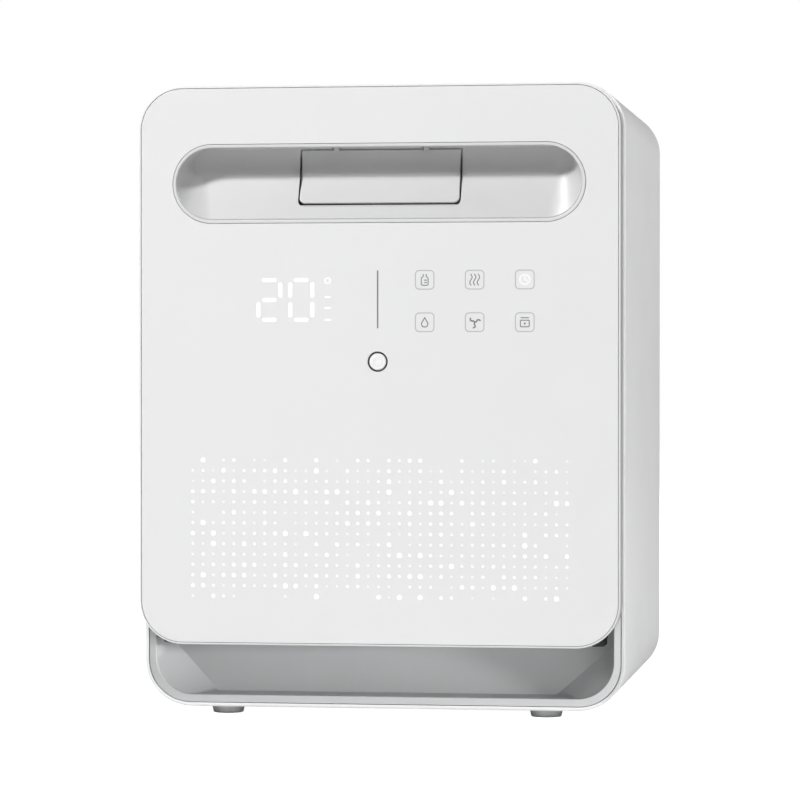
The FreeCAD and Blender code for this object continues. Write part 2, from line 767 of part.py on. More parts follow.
def make_fan_impeller():
    """Cup-shaped hub on a shaft with seven twisted blades."""
    front = mm("fan_front")
    hub = Part.makeCylinder(15, 17, Vector(0, 0, 0)).cut(Part.makeCylinder(13, 16, Vector(0, 0, 2)))
    hub = hub.fuse(Part.makeCylinder(1.5, 16, Vector(0, 0, 0.5)))
    blades = []
    for index in range(7):
        sections = []
        for radius, lean, chord in ((14.0, 38, 15), (30.0, 24, 20)):
            dx, dz = chord / 2 * math.cos(math.radians(lean)), chord / 2 * math.sin(math.radians(lean))
            side = Vector(0, dx, 0)
            rise = Vector(0, 0, dz)
            thick = Vector(0, -math.sin(math.radians(lean)), math.cos(math.radians(lean))) * 0.6
            centre = Vector(radius, 0, 9)
            corners = [centre - side - rise - thick, centre + side + rise - thick,
                       centre + side + rise + thick, centre - side - rise + thick]
            sections.append(Part.makePolygon(corners + corners[:1]))
        blade = Part.makeLoft(sections, True, True)
        blade.rotate(Vector(), Vector(0, 0, 1), 360 * index / 7)
        blades.append(blade)
    sweep = Part.makeCylinder(30.2, 17)
    wheel = hub.fuse([blade.common(sweep) for blade in blades]).removeSplitter()
    spun = placed(wheel, mm("fan_centre_x"), front + 2.5, mm("fan_centre_level"), "y")
    node("fan_impeller", feature(spun))


def make_air_duct():
    """Duct from the fan to the slots in the chamber's floor."""
    left, right, low, high = fan_square(1)
    top = "liner_low"
    outside = box((left, right), ("duct_front", "fan_front"), (low, top))
    inside = box((f"{left} + duct_wall", f"{right} - duct_wall"),
                 ("duct_front + duct_wall", "fan_front + 1"),
                 (f"{low} + duct_wall", f"{top} - duct_wall"))
    window = box(("-88", "-30"), ("28", "72"), ("liner_low - 3", "liner_low + 1"))
    node("air_duct", cut(outside, inside, window))


def make_heater_block():
    """Finned heater in the duct."""
    body = new_body("heater_block")
    left, right, low, high = fan_square(-3)
    sketch = new_sketch(body, "XZ_Plane", "94")
    rounded_outline(sketch, left, right, low, high, "1")
    pad(body, sketch, "14")
    slot = opening(body, f"{left} + 3", f"{left} + 5.4", f"{low} + 4", f"{high} - 4", "0.8", "80", "94")
    repeat(body, slot, "H_Axis", "51.6", 13)
    node("heater_block", body)


def make_hepa_filter():
    """Pleated inlet filter in a frame."""
    left, right, low, high = (mm(text) for text in fan_square(-2))
    front, back = mm(FAN_BACK) + 1.2, mm(REAR_PANEL_FRONT) - 1.6
    pleats = 20
    pitch = (right - left - 6) / pleats
    zigzag = [Vector(left + 3 + pitch * index / 2, front + 1 if index % 2 else back - 2.2, low + 3)
              for index in range(2 * pleats + 1)]
    backing = [Vector(spot.x, spot.y + 1.2, spot.z) for spot in reversed(zigzag)]
    media = Part.Face(Part.makePolygon(zigzag + backing + zigzag[:1])).extrude(Vector(0, 0, high - low - 6))
    frame = Part.makeBox(right - left, back - front, high - low, Vector(left, front, low))
    frame = frame.cut(Part.makeBox(right - left - 6, back - front + 2, high - low - 6,
                                   Vector(left + 3, front - 1, low + 3)))
    node("hepa_filter", feature(frame.fuse(media)))


def make_filter_cover():
    """Slatted cover that pulls off the back to reach the filter."""
    body = new_body("filter_cover")
    left, right, low, high = fan_square(-0.4)
    sketch = new_sketch(body, "XZ_Plane", f"({BACK} - 0.5)")
    rounded_outline(sketch, left, right, low, high, "6")
    pad(body, sketch, "4")
    hollow = new_sketch(body, "XZ_Plane", f"({BACK} - 5)")
    rounded_outline(hollow, f"{left} + 2", f"{right} - 2", f"{low} + 2", f"{high} - 2", "4")
    pocket(body, hollow, "2.5")
    margin = 8
    slot = opening(body, f"{left} + {margin}", f"{right} - {margin}", f"{low} + {margin}",
                   f"{low} + {margin} + 3", "1.4", f"({BACK} - 4)", BACK)
    repeat(body, slot, "V_Axis", "46", 9)
    node("filter_cover", body)


# ----------------------------------------------------------------- electrics

def make_base_plate():
    """Steel floor of the lower compartment."""
    body = new_body("base_plate")
    sketch = new_sketch(body, "XY_Plane", INSIDE_LOW)
    rounded_outline(sketch, "-112", "112", f"{SHELL_FRONT} + 6", "135", "6")
    pad(body, sketch, "base_sheet")
    sketch = new_sketch(body, "XY_Plane", f"{INSIDE_LOW} + base_sheet")
    circles(sketch, foot_places(), "1.4")
    pocket(body, sketch, "base_sheet")
    node("base_plate", body)


def make_main_board():
    """Power and control board on four posts, with its larger components."""
    floor = f"({INSIDE_LOW} + base_sheet)"
    top = "board_high"
    node("main_board", box(("-8", "108"), ("-50", "74"), ("board_low", top)))
    posts = [rod("z", "3", floor, "board_low", x=x, y=y) for x in (-2, 102) for y in (-44, 68)]
    node("board_posts", group(*posts))
    core = box(("62", "98"), ("30", "60"), (top, "40"))
    winding = box(("58", "102"), ("37", "53"), (top, "36"))
    transformer = fuse(core, winding)
    relays = [box((x, f"{x} + 12"), ("-44", "-16"), (top, "33")) for x in ("60", "78")]
    capacitors = [rod("z", "8", top, "42", x=x, y="44") for x in ("8", "28")]
    connectors = [box((x, f"{x} + 14"), ("-46", "-38"), (top, "25")) for x in ("0", "20", "40")]
    chip = box(("10", "24"), ("-12", "2"), (top, "18.4"))
    sink = cut(box(("44", "56"), ("20", "66"), (top, "44")),
               *[box(("50", "57"), (y, f"{y} + 3"), ("20", "45")) for y in (22, 28, 34, 40, 46, 52, 58)])
    node("board_components", group(transformer, *relays, *capacitors, *connectors, chip, sink))


def make_power_inlet():
    """Three-pole mains inlet in the rear panel."""
    body = new_body("power_inlet")
    sketch = new_sketch(body, "XZ_Plane", BACK)
    rounded_outline(sketch, "60", "100", "17", "45", "3")
    pad(body, sketch, f"{BACK} - {REAR_PANEL_BACK}")
    sketch = new_sketch(body, "XZ_Plane", REAR_PANEL_BACK)
    rounded_outline(sketch, "66.1", "93.9", "21.1", "40.9", "2")
    pad(body, sketch, f"{REAR_PANEL_BACK} - 120")
    opening(body, "68.2", "91.8", "22.8", "39.2", "1.5", "129", BACK)
    node("power_inlet", body)
    blades = [box((f"{x} - 1", f"{x} + 1"), ("129", "141"), ("28", "34")) for x in ("73", "80", "87")]
    node("inlet_pins", group(*blades))


def make_temperature_probe():
    """Sensor through the chamber's back wall."""
    tip = rod("y", "2.5", "liner_back - 9", "liner_back + 6", x="80", z="300")
    collar = rod("y", "4", "liner_back", "liner_back + 2", x="80", z="300")
    node("temperature_probe", fuse(tip, collar))


# --------------------------------------------------------- feet and fasteners

def make_feet():
    """Tapered rubber feet with a sunk screw each."""
    feet, fixings = [], []
    for x, y in foot_places():
        cone = doc.addObject("Part::Cone", "Foot")
        bind(cone, Radius1="foot_radius - 0.7", Radius2="foot_radius", Height="foot_rise")
        bind(cone, Placement__Base__x=x, Placement__Base__y=y)
        well = rod("z", "4", "-1", "2.2", x=x, y=y)
        through = rod("z", "1.8", "2", "foot_rise + 1", x=x, y=y)
        feet.append(cut(cone, well, through))
        fixings.append((x, y, "2.2"))
    node("feet", group(*feet))
    node("foot_screws", group(*screws("z", fixings, "3.2", "1.4", "1.4",
                                      f"{INSIDE_LOW} + base_sheet - 2.2")))


def make_rear_screws():
    """Screws through the rear panel into the stiffener."""
    made = []
    for x, z in rear_screw_places():
        head = rod("y", "cover_screw_head", REAR_PANEL_BACK, f"{BACK} - 0.1", x=x, z=z)
        stem = rod("y", "screw_pilot", f"{REAR_PANEL_FRONT} - 4.5", REAR_PANEL_BACK, x=x, z=z)
        drive = rod("y", "1.1", f"{BACK} - 0.7", BACK, x=x, z=z)
        made.append(cut(fuse(head, stem), drive))
    node("rear_screws", group(*made))


def make_bezel_screws():
    """Screws through the liner's flange and the strike plate into the bezel."""
    seats = [(x, f"{BEZEL_BACK} + liner_sheet", z) for x, z in bezel_screw_places()]
    seats += [(x, f"{BEZEL_BACK} + strike_sheet", z) for x, z in strike_screw_places()]
    made = []
    for x, y, z in seats:
        head = rod("y", "screw_head", y, f"{y} + 1.6", x=x, z=z)
        stem = rod("y", "screw_pilot", f"{BEZEL_BACK} - 2.3", y, x=x, z=z)
        made.append(fuse(head, stem))
    node("bezel_screws", group(*made))


def make_strike_plate():
    """Steel plate behind the bezel that the door's hook holds."""
    body = new_body("strike_plate")
    front, back = BEZEL_BACK, f"({BEZEL_BACK} + strike_sheet)"
    slab(body, "19", "349.5", "370", "3", front, back)
    opening(body, "-7", "7", "354.5", "365.5", "1", front, back)
    drill(body, strike_screw_places(), "1.4", front, back)
    node("strike_plate", body)


def make_door_sensor():
    """Switch behind the bezel that the door's magnet closes."""
    node("door_sensor", box(("94", "114"), (BEZEL_BACK, f"{BEZEL_BACK} + 7"), ("355", "364")))


# ----------------------------------------------------------------- the hinge

def both_sides(make):
    """A piece on the right and its mirror on the left; make takes a function that orders two X values."""
    def span_on(side):
        return lambda near, far: tuple(sorted((side * mm(near), side * mm(far))))
    return group(*[make(span_on(side)) for side in (1, -1)])


def make_hinge_brackets():
    """Black arms under the recess's ceiling whose knuckles carry the door."""
    def bracket(span):
        low_x, high_x = span("bracket_inner", "bracket_outer")
        knuckle = rod("x", "knuckle", low_x, high_x, y=HINGE_Y, z="hinge_height")
        arm = box((low_x, high_x), (HINGE_Y, "-104"), ("hinge_height - knuckle", "hinge_height + knuckle"))
        foot = box((low_x, high_x), ("-119", "-100"), ("hinge_height - 2", "recess_ceiling"))
        bore_low, bore_high = span("bracket_inner - 1", "bracket_outer - 1")
        bore = rod("x", "hinge_pin + hinge_clear", bore_low, bore_high, y=HINGE_Y, z="hinge_height")
        return cut(fuse(knuckle, arm, foot), bore)
    node("hinge_brackets", both_sides(bracket))


def make_hinge_leaves():
    """Door side of the hinge: an eye on a plate inside the door."""
    def leaf(span):
        low_x, high_x = span("117.5", "124.6")
        eye = rod("x", "5", low_x, high_x, y=HINGE_Y, z="hinge_height")
        neck = box((low_x, high_x), (f"{HINGE_Y} - 5", f"{DOOR_INNER_FRONT}"), ("hinge_height", "56"))
        low_p, high_p = span("108", "124.6")
        plate = box((low_p, high_p), (f"{HINGE_Y} - 5", f"{DOOR_INNER_FRONT}"), ("55.5", "78"))
        bore_low, bore_high = span("117", "125")
        bore = rod("x", "hinge_pin", bore_low, bore_high, y=HINGE_Y, z="hinge_height")
        return cut(fuse(eye, neck, plate), bore)
    node("hinge_leaves", both_sides(leaf))

    def pin(span):
        low_x, high_x = span("107.5", "130")
        return rod("x", "hinge_pin", low_x, high_x, y=HINGE_Y, z="hinge_height")
    node("hinge_pins", both_sides(pin))
    spring = coil(2.9, 1.0, 6, 7.5)
    places = [placed(spring, x, mm(HINGE_Y), mm("hinge_height"), "x") for x in (109.0, -116.5)]
    node("hinge_springs", feature(Part.makeCompound(places)))


# ------------------------------------------------------------------- the door

def stadium_hole(body, grow, front, back):
    """A long round-ended hole for the handle recess."""
    radius = f"(cup_high - cup_low) / 2 + {grow}"
    half = f"(cup_half + {grow})"
    opening(body, f"-{half}", half, f"cup_low - {grow}", f"cup_high + {grow}", f"{radius} - 0.01",
            front, back)


def hinge_slots(body, front, back):
    """Clearance at the door's foot for each hinge."""
    for left, right in (("hinge_slot_near", "hinge_slot_far"), ("-hinge_slot_far", "-hinge_slot_near")):
        opening(body, left, right, "door_low - 2", "hinge_height + hinge_slot_above", "0.4", front, back)


def make_front_panel():
    """Thin glossy panel set into the door's front."""
    body = new_body("front_panel")
    inset = "(door_lip + slip_fit)"
    slab(body, f"door_half - {inset}", f"door_low + {inset}", f"door_high - {inset}",
         f"door_corner - {inset}", FRONT, PANEL_BACK)
    stadium_hole(body, "slip_fit", FRONT, PANEL_BACK)
    drill(body, [("0", "button_level")], "ring_radius + 0.05", FRONT, PANEL_BACK)
    node("front_panel", body)


def door_screw_places():
    sides = [(f"{side}door_screw_side", level) for side in ("", "-") for level in ("95", "215", "350")]
    return sides + [("0", "62")]


def make_door_frame():
    """Door moulding: a rim, a web behind the panel, screw bosses and lugs for the latch pin."""
    body = new_body("door_frame")
    slab(body, "door_half", "door_low", "door_high", "door_corner", FRONT, DOOR_BACK)
    lip = "door_half - door_lip"
    opening(body, f"-({lip})", lip, "door_low + door_lip", "door_high - door_lip", "door_corner - door_lip",
            FRONT, PANEL_BACK)
    wall = "door_half - door_wall"
    opening(body, f"-({wall})", wall, "door_low + door_wall", "door_high - door_wall",
            "door_corner - door_wall", WEB_BACK, DOOR_BACK)
    stadium_hole(body, "-0.3", PANEL_BACK, WEB_BACK)
    drill(body, [("0", "button_level")], "ring_radius", PANEL_BACK, WEB_BACK)
    opening(body, "-83", "-27", "227", "267", "2", PANEL_BACK, WEB_BACK)
    sketch = new_sketch(body, "XZ_Plane", DOOR_INNER_FRONT)
    circles(sketch, door_screw_places(), "3.6")
    pad(body, sketch, f"{DOOR_INNER_FRONT} - {WEB_BACK}")
    sketch = new_sketch(body, "XZ_Plane", BOARD_FRONT)
    circles(sketch, board_boss_places(), "3")
    pad(body, sketch, f"{BOARD_FRONT} - {WEB_BACK}")
    drill(body, door_screw_places(), "screw_pilot", f"({DOOR_INNER_FRONT} - 8)", DOOR_INNER_FRONT)
    hinge_slots(body, f"({HINGE_Y} - 5.8)", f"({DOOR_BACK} + 1)")
    axis_y = f"({FRONT} + latch_axis_depth)"
    lugs = [box((low, high), (WEB_BACK, f"{axis_y} + 3"), ("latch_axis_level - 4", "latch_axis_level + 4"))
            for low, high in (("latch_lug_near", "latch_lug_far"), ("-latch_lug_far", "-latch_lug_near"))]
    bore = rod("x", "latch_pin", "-latch_lug_far - 2", "latch_lug_far + 2", y=axis_y, z="latch_axis_level")
    node("door_frame", cut(fuse(body, *lugs), bore))


def board_boss_places():
    return [(x, z) for x in ("-80", "100") for z in ("203", "277")]


def make_door_inner_panel():
    """Inner face of the door with a raised middle that faces the chamber."""
    body = new_body("door_inner_panel")
    inset = "(door_wall + slip_fit)"
    slab(body, f"door_half - {inset}", f"door_low + {inset}", f"door_high - {inset}",
         f"door_corner - {inset}", DOOR_INNER_FRONT, DOOR_BACK)
    slab(body, "112", "90", "334", "12", DOOR_INNER_FRONT, f"({DOOR_BACK} + 2.8)")
    opening(body, "-110", "110", "92", "332", "10", DOOR_INNER_FRONT, f"({DOOR_BACK} + 0.8)")
    opening(body, "-7.6", "7.6", "353", "364.5", "1", DOOR_INNER_FRONT, DOOR_BACK)
    drill(body, door_screw_places(), "screw_pass", DOOR_INNER_FRONT, DOOR_BACK)
    hinge_slots(body, DOOR_INNER_FRONT, DOOR_BACK)
    node("door_inner_panel", body)


def make_door_gasket():
    """Silicone seal round the chamber's mouth, on the door."""
    body = new_body("door_gasket")
    back = f"({BEZEL_FRONT} - 0.4)"
    slab(body, "seal_half", "seal_low", "seal_high", "seal_corner", DOOR_BACK, back)
    inner = "(seal_half - seal_width)"
    opening(body, f"-{inner}", inner, "seal_low + seal_width", "seal_high - seal_width",
            "seal_corner - seal_width", DOOR_BACK, back)
    node("door_gasket", body)


def make_door_screws():
    """Screws that hold the inner panel to the frame."""
    made = []
    for x, z in door_screw_places():
        head = rod("y", "cover_screw_head", DOOR_BACK, f"{DOOR_BACK} + 1.6", x=x, z=z)
        stem = rod("y", "screw_pilot", f"{DOOR_INNER_FRONT} - 7.5", DOOR_BACK, x=x, z=z)
        drive = rod("y", "1.1", f"{DOOR_BACK} + 0.8", f"{DOOR_BACK} + 2", x=x, z=z)
        made.append(cut(fuse(head, stem), drive))
    node("door_screws", group(*made))


def make_door_magnet():
    node("door_magnet", box(("95", "113"), (f"{DOOR_INNER_FRONT} - 5", DOOR_INNER_FRONT), ("356", "363")))


# ----------------------------------------------------- handle recess and latch

def stadium_wire(half, low, high, depth, seam=0.01):
    """Round-ended outline in a plane of constant Y, with short straight ends."""
    radius = (high - low) / 2 - seam
    middle = (high + low) / 2
    turn = half - radius

    def at(x, z):
        return Vector(x, depth, z)
    return Part.Wire([
        Part.makeLine(at(-turn, low), at(turn, low)),
        Part.Arc(at(turn, low), at(half, middle), at(turn, high)).toShape(),
        Part.makeLine(at(turn, high), at(-turn, high)),
        Part.Arc(at(-turn, high), at(-half, middle), at(-turn, low)).toShape(),
    ])


def cup_hollow(grow):
    """The space inside the recess, grown by a wall: a slope up to a crease, then a wall that leans back."""
    front = mm(FRONT)
    rim = mm("cup_rim")
    low, high, half = mm("cup_low") + rim - grow, mm("cup_high") - rim + grow, mm("cup_half") - rim + grow
    crease = mm("cup_crease_level") - grow
    deep = front + mm("cup_crease_depth") + grow
    lean = (mm("cup_top_depth") - mm("cup_crease_depth")) / (high - crease)
    mouth = stadium_wire(half, low, high, front)
    throat = stadium_wire(half - 8.0, crease, high, deep)
    shear = FreeCAD.Matrix()
    shear.A23 = lean
    shear.A24 = -lean * crease
    return Part.makeLoft([mouth, throat.transformGeometry(shear)], True, True)


def make_handle_cup():
    """Long recess insert with a rim, a window for the flap and two lugs for its pin."""
    front = mm(FRONT)
    rim = Part.Face(stadium_wire(mm("cup_half"), mm("cup_low"), mm("cup_high"), front)).extrude(
        Vector(0, mm("panel_thick"), 0))
    cup = rim.fuse(cup_hollow(mm("cup_wall"))).cut(cup_hollow(0))
    gap = 0.9
    window_half = mm("flap_half") + gap
    window_deep = 16
    sill = mm("flap_low") - mm("flap_sill_gap")
    head = mm("flap_top") + gap
    window = Part.makeBox(2 * window_half, window_deep, head - sill, Vector(-window_half, front + 3, sill))
    sill_edges = [edge for edge in window.Edges
                  if edge.BoundBox.YLength > window_deep - 1 and edge.BoundBox.ZMax < sill + 1]
    window = window.makeFillet(mm("flap_corner") + 0.8, sill_edges)
    axis_y, axis_z = front + mm("flap_axis_depth"), mm("flap_axis_level")
    arm_low, arm_high = mm("flap_arm_inner") - 0.4, mm("flap_barrel") + 0.4
    slots = [Part.makeBox(arm_high - arm_low, 14, 12, Vector(x, axis_y - 3.2, 335))
             for x in (arm_low, -arm_high)]
    cup = cup.cut([window, *slots])
    lug, lug_wide = mm("flap_lug"), 3
    lugs = [Part.makeBox(lug_wide, 6, 7.6, Vector(x, axis_y - 3, axis_z - 4.2))
            for x in (lug, -lug - lug_wide)]
    bore = Part.makeCylinder(mm("flap_pin"), 80, Vector(-40, axis_y, axis_z), Vector(1, 0, 0))
    cup = cup.fuse(lugs).cut(bore).cut(cup_hollow(0))
    node("handle_cup", feature(cup.removeSplitter()))


def make_release_flap():
    """Bent flap that follows the recess, hinged along its top, with a tail that works the hook."""
    front, thick = mm(FRONT), mm("flap_thick")
    proud = 0.35
    crease_y, crease_z = front + mm("cup_crease_depth") - proud, mm("cup_crease_level")
    low_z = mm("cup_low") + mm("cup_rim")
    run, rise = mm("cup_crease_depth"), crease_z - low_z
    foot_z = mm("flap_low")
    foot_y = front + run * (foot_z - low_z) / rise - proud
    top_z = mm("flap_top")
    top_y = front + mm("cup_top_depth") - proud
    back = mm("flap_back")
    leaf = [(foot_y, foot_z), (crease_y, crease_z), (top_y, top_z), (top_y + back, top_z),
            (crease_y + thick, crease_z - 0.8), (foot_y + thick, foot_z - 0.6)]
    half = mm("flap_half")
    flap = extruded(points(*leaf), -half, half)
    corners = [edge for edge in flap.Edges
               if edge.BoundBox.XLength < 1e-6 and edge.BoundBox.YLength > 1
               and abs(edge.BoundBox.ZMax - foot_z) < 0.7]
    flap = flap.makeFillet(mm("flap_corner"), corners)
    axis_y, axis_z = front + mm("flap_axis_depth"), mm("flap_axis_level")
    reach = mm("flap_barrel")
    arm_inner, arm_outer = mm("flap_arm_inner"), reach
    arm = [(top_y, top_z - 1), (top_y - 0.6, axis_z - 1), (axis_y, axis_z - 1), (axis_y, axis_z + 1),
           (top_y + back, axis_z), (top_y + back, top_z - 1)]
    arms = [extruded(points(*arm), *sorted((side * arm_inner, side * arm_outer))) for side in (1, -1)]
    along_x = Vector(1, 0, 0)
    barrel = Part.makeCylinder(mm("flap_barrel_radius"), 2 * reach, Vector(-reach, axis_y, axis_z), along_x)
    tail = extruded(points((axis_y - 1, axis_z), (axis_y - 1, axis_z + 5.2), (axis_y + 1, axis_z + 5.2),
                           (axis_y + 1, axis_z)), -4.5, 4.5)
    pin_reach = mm("flap_lug") + 3
    bore_radius = mm("flap_pin") + 0.05
    bore = Part.makeCylinder(bore_radius, 2 * pin_reach, Vector(-pin_reach, axis_y, axis_z), along_x)
    node("release_flap", feature(flap.fuse([*arms, barrel, tail]).cut(bore).removeSplitter()))
    node("flap_pin", rod("x", "flap_pin", f"-{pin_reach}", f"{pin_reach}", y=axis_y, z=axis_z))
    length = mm("flap_lug") - reach - 0.6
    spring = coil(1.9, 0.5, 7, length - 0.5)
    node("flap_springs", feature(Part.makeCompound(
        [placed(spring, x, axis_y, axis_z, "x") for x in (reach + 0.55, -reach - 0.05 - length)])))


def make_latch():
    """Hook above the recess: the flap's tail pushes its lobe, and the nose lifts off the strike plate."""
    axis_y, axis_z = mm(FRONT) + mm("latch_axis_depth"), mm("latch_axis_level")
    half = mm("hook_thick") / 2
    back = mm(BEZEL_BACK) + mm("strike_sheet") + 0.4
    arm = [(axis_y - 2.5, axis_z), (axis_y - 1, axis_z + 3), (axis_y + 6, axis_z + 7.4),
           (back + 2.6, axis_z + 7.4), (back + 3.6, axis_z + 5), (back + 2, axis_z), (back, axis_z),
           (back, axis_z + 3.5), (axis_y + 8, axis_z + 3.5), (axis_y + 3, axis_z)]
    lobe_front = mm(FRONT) + mm("flap_axis_depth") + 1 + 0.4
    lobe = [(axis_y - 1, axis_z), (lobe_front, axis_z - 3), (lobe_front, axis_z - 6.8),
            (lobe_front + 2, axis_z - 6.8), (lobe_front + 2.4, axis_z - 2), (axis_y + 3, axis_z)]
    hook = extruded(points(*arm), -half, half).fuse(extruded(points(*lobe), -half, half))
    hook = hook.fuse(Part.makeCylinder(3.2, 2 * half, Vector(-half, axis_y, axis_z), Vector(1, 0, 0)))
    hook = hook.cut(Part.makeCylinder(1.55, 60, Vector(-30, axis_y, axis_z), Vector(1, 0, 0)))
    node("latch_hook", feature(hook.removeSplitter()))
    node("latch_pin", rod("x", "latch_pin", "-latch_lug_far", "latch_lug_far", y=axis_y, z=axis_z))
    spring = coil(2.2, 0.6, 5, 3.8)
    node("latch_spring", feature(placed(spring, half + 0.6, axis_y, axis_z, "x")))


# ------------------------------------------------------------------- controls

def make_button():
    """Push button in a dark ring, its guide and its return spring."""
    level = "button_level"
    ring = cut(rod("y", "ring_radius", FRONT, PANEL_BACK, x="0", z=level),
               rod("y", "button_radius + 0.15", f"{FRONT} - 1", f"{PANEL_BACK} + 1", x="0", z=level))
    node("button_ring", ring)
    cap = rod("y", "button_radius", FRONT, f"{FRONT} + 3.3", x="0", z=level)
    hollow = rod("y", "button_radius - 0.8", f"{FRONT} + 1.5", f"{FRONT} + 4", x="0", z=level)
    stem = rod("y", "2", f"{FRONT} + 1", f"{FRONT} + 7.4", x="0", z=level)
    node("power_button", fuse(cut(cap, hollow), stem))
    tube = rod("y", "7.6", WEB_BACK, BOARD_FRONT, x="0", z=level)
    room = rod("y", "6.2", f"{WEB_BACK} - 1", f"{BOARD_FRONT} + 1", x="0", z=level)
    floor = cut(rod("y", "6.6", f"{WEB_BACK} + 0.8", f"{WEB_BACK} + 2", x="0", z=level),
                rod("y", "2.06", WEB_BACK, f"{WEB_BACK} + 3", x="0", z=level))
    node("button_guide", fuse(cut(tube, room), floor))
    start = mm(FRONT) + 1.6
    length = mm(WEB_BACK) + 0.8 - start
    spring = coil(3.0, 0.4, 3, length - 0.5)
    node("button_spring", feature(placed(spring, 0, start + 0.25, mm(level), "y")))


def make_control_board():
    """Display and touch board behind the web, its display and the pads that couple the six touch keys."""
    body = new_body("control_board")
    sketch = new_sketch(body, "XZ_Plane", f"({BOARD_FRONT} + 1.6)")
    rounded_outline(sketch, "-86", "106", "197", "283", "3")
    pad(body, sketch, "1.6")
    drill(body, board_boss_places(), "1.6", BOARD_FRONT, f"({BOARD_FRONT} + 1.6)")
    node("control_board", body)
    node("display_module", box(("-82", "-28"), (f"{PANEL_BACK} + 0.2", BOARD_FRONT), ("228", "266")))
    length = mm(BOARD_FRONT) - mm(WEB_BACK)
    edge = 0.5
    pad_shape = Part.makeCylinder(mm("key_pad"), length)
    pad_shape = pad_shape.makeChamfer(edge, [rim for rim in pad_shape.Edges if rim.BoundBox.ZLength < 1e-6])
    pads = [placed(pad_shape, mm("icon_column") + step * mm("icon_pitch"), mm(WEB_BACK), mm(level), "y")
            for step in (-1, 0, 1) for level in ("icon_level_low", "icon_level_high")]
    node("touch_pads", feature(Part.makeCompound(pads)))


def finish():
    """Check every object and write one file for each sub-part."""
    doc.recompute()
    for thing in doc.Objects:
        if "Invalid" in thing.State or "Error" in thing.State:
            raise RuntimeError("failed: " + thing.Name + " " + thing.Label)
    for piece in nodes:
        shape = piece.Shape
        if shape.isNull() or not shape.isValid() or shape.Volume <= 0 or not shape.Solids:
            raise RuntimeError("bad shape: " + piece.Label)
        shape.exportStep(os.path.join("parts", piece.Label + ".step"))
    print(len(nodes), "nodes written")


def main():
    make_outer_shell()
    make_rear_stiffener()
    make_rear_panel()
    make_front_bezel()
    make_lower_trim()
    make_inner_liner()
    make_rack_rails()
    make_rack("lower_rack", "lower_rack_level")
    make_rack("upper_rack", "upper_rack_level")
    make_bottle_pegs()
    make_drip_tray()
    make_lamps()
    make_lamp_ballast()
    make_fan_frame()
    make_fan_motor()
    make_fan_impeller()
    make_air_duct()
    make_heater_block()
    make_hepa_filter()
    make_filter_cover()
    make_base_plate()
    make_main_board()
    make_power_inlet()
    make_temperature_probe()
    make_feet()
    make_rear_screws()
    make_bezel_screws()
    make_strike_plate()
    make_door_sensor()
    make_hinge_brackets()
    make_hinge_leaves()
    make_front_panel()
    make_door_frame()
    make_door_inner_panel()
    make_door_gasket()
    make_door_screws()
    make_door_magnet()
    make_handle_cup()
    make_release_flap()
    make_latch()
    make_button()
    make_control_board()
    finish()


main()
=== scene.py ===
"""Bottle sterilizer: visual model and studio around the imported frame.

Shapes are drawn in millimetres, and piece() turns them into metres. Lights and camera are in metres.
"""
import json
import math
import random

import bmesh
import bpy
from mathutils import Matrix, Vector


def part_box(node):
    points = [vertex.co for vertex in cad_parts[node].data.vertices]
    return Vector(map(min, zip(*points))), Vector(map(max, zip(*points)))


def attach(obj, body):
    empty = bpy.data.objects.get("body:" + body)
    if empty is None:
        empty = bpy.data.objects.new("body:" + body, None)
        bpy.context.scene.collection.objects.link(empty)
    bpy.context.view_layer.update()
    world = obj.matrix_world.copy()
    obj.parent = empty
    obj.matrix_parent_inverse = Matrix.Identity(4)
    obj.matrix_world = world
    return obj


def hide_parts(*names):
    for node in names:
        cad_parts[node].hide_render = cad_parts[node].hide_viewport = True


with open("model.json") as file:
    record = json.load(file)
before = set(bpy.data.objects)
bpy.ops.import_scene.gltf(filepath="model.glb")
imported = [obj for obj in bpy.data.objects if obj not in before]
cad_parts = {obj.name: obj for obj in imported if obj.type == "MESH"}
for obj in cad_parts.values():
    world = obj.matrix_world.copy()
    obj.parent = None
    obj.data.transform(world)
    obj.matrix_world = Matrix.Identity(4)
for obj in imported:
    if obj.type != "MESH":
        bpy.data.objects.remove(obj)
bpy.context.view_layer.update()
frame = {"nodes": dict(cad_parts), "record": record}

MM = 0.001


def node_box(node):
    """A CAD node's lowest and highest corners at rest, in millimetres."""
    low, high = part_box(node)
    return [v / MM for v in low], [v / MM for v in high]


def middle_of(node):
    """The middle of a node's box, as (y, z)."""
    low, high = node_box(node)
    return (low[1] + high[1]) / 2, (low[2] + high[2]) / 2


# ---------------------------------------------------------------- materials

NOISE_LOW, NOISE_HIGH = 0.3, 0.7  # most of a noise texture's values lie between these


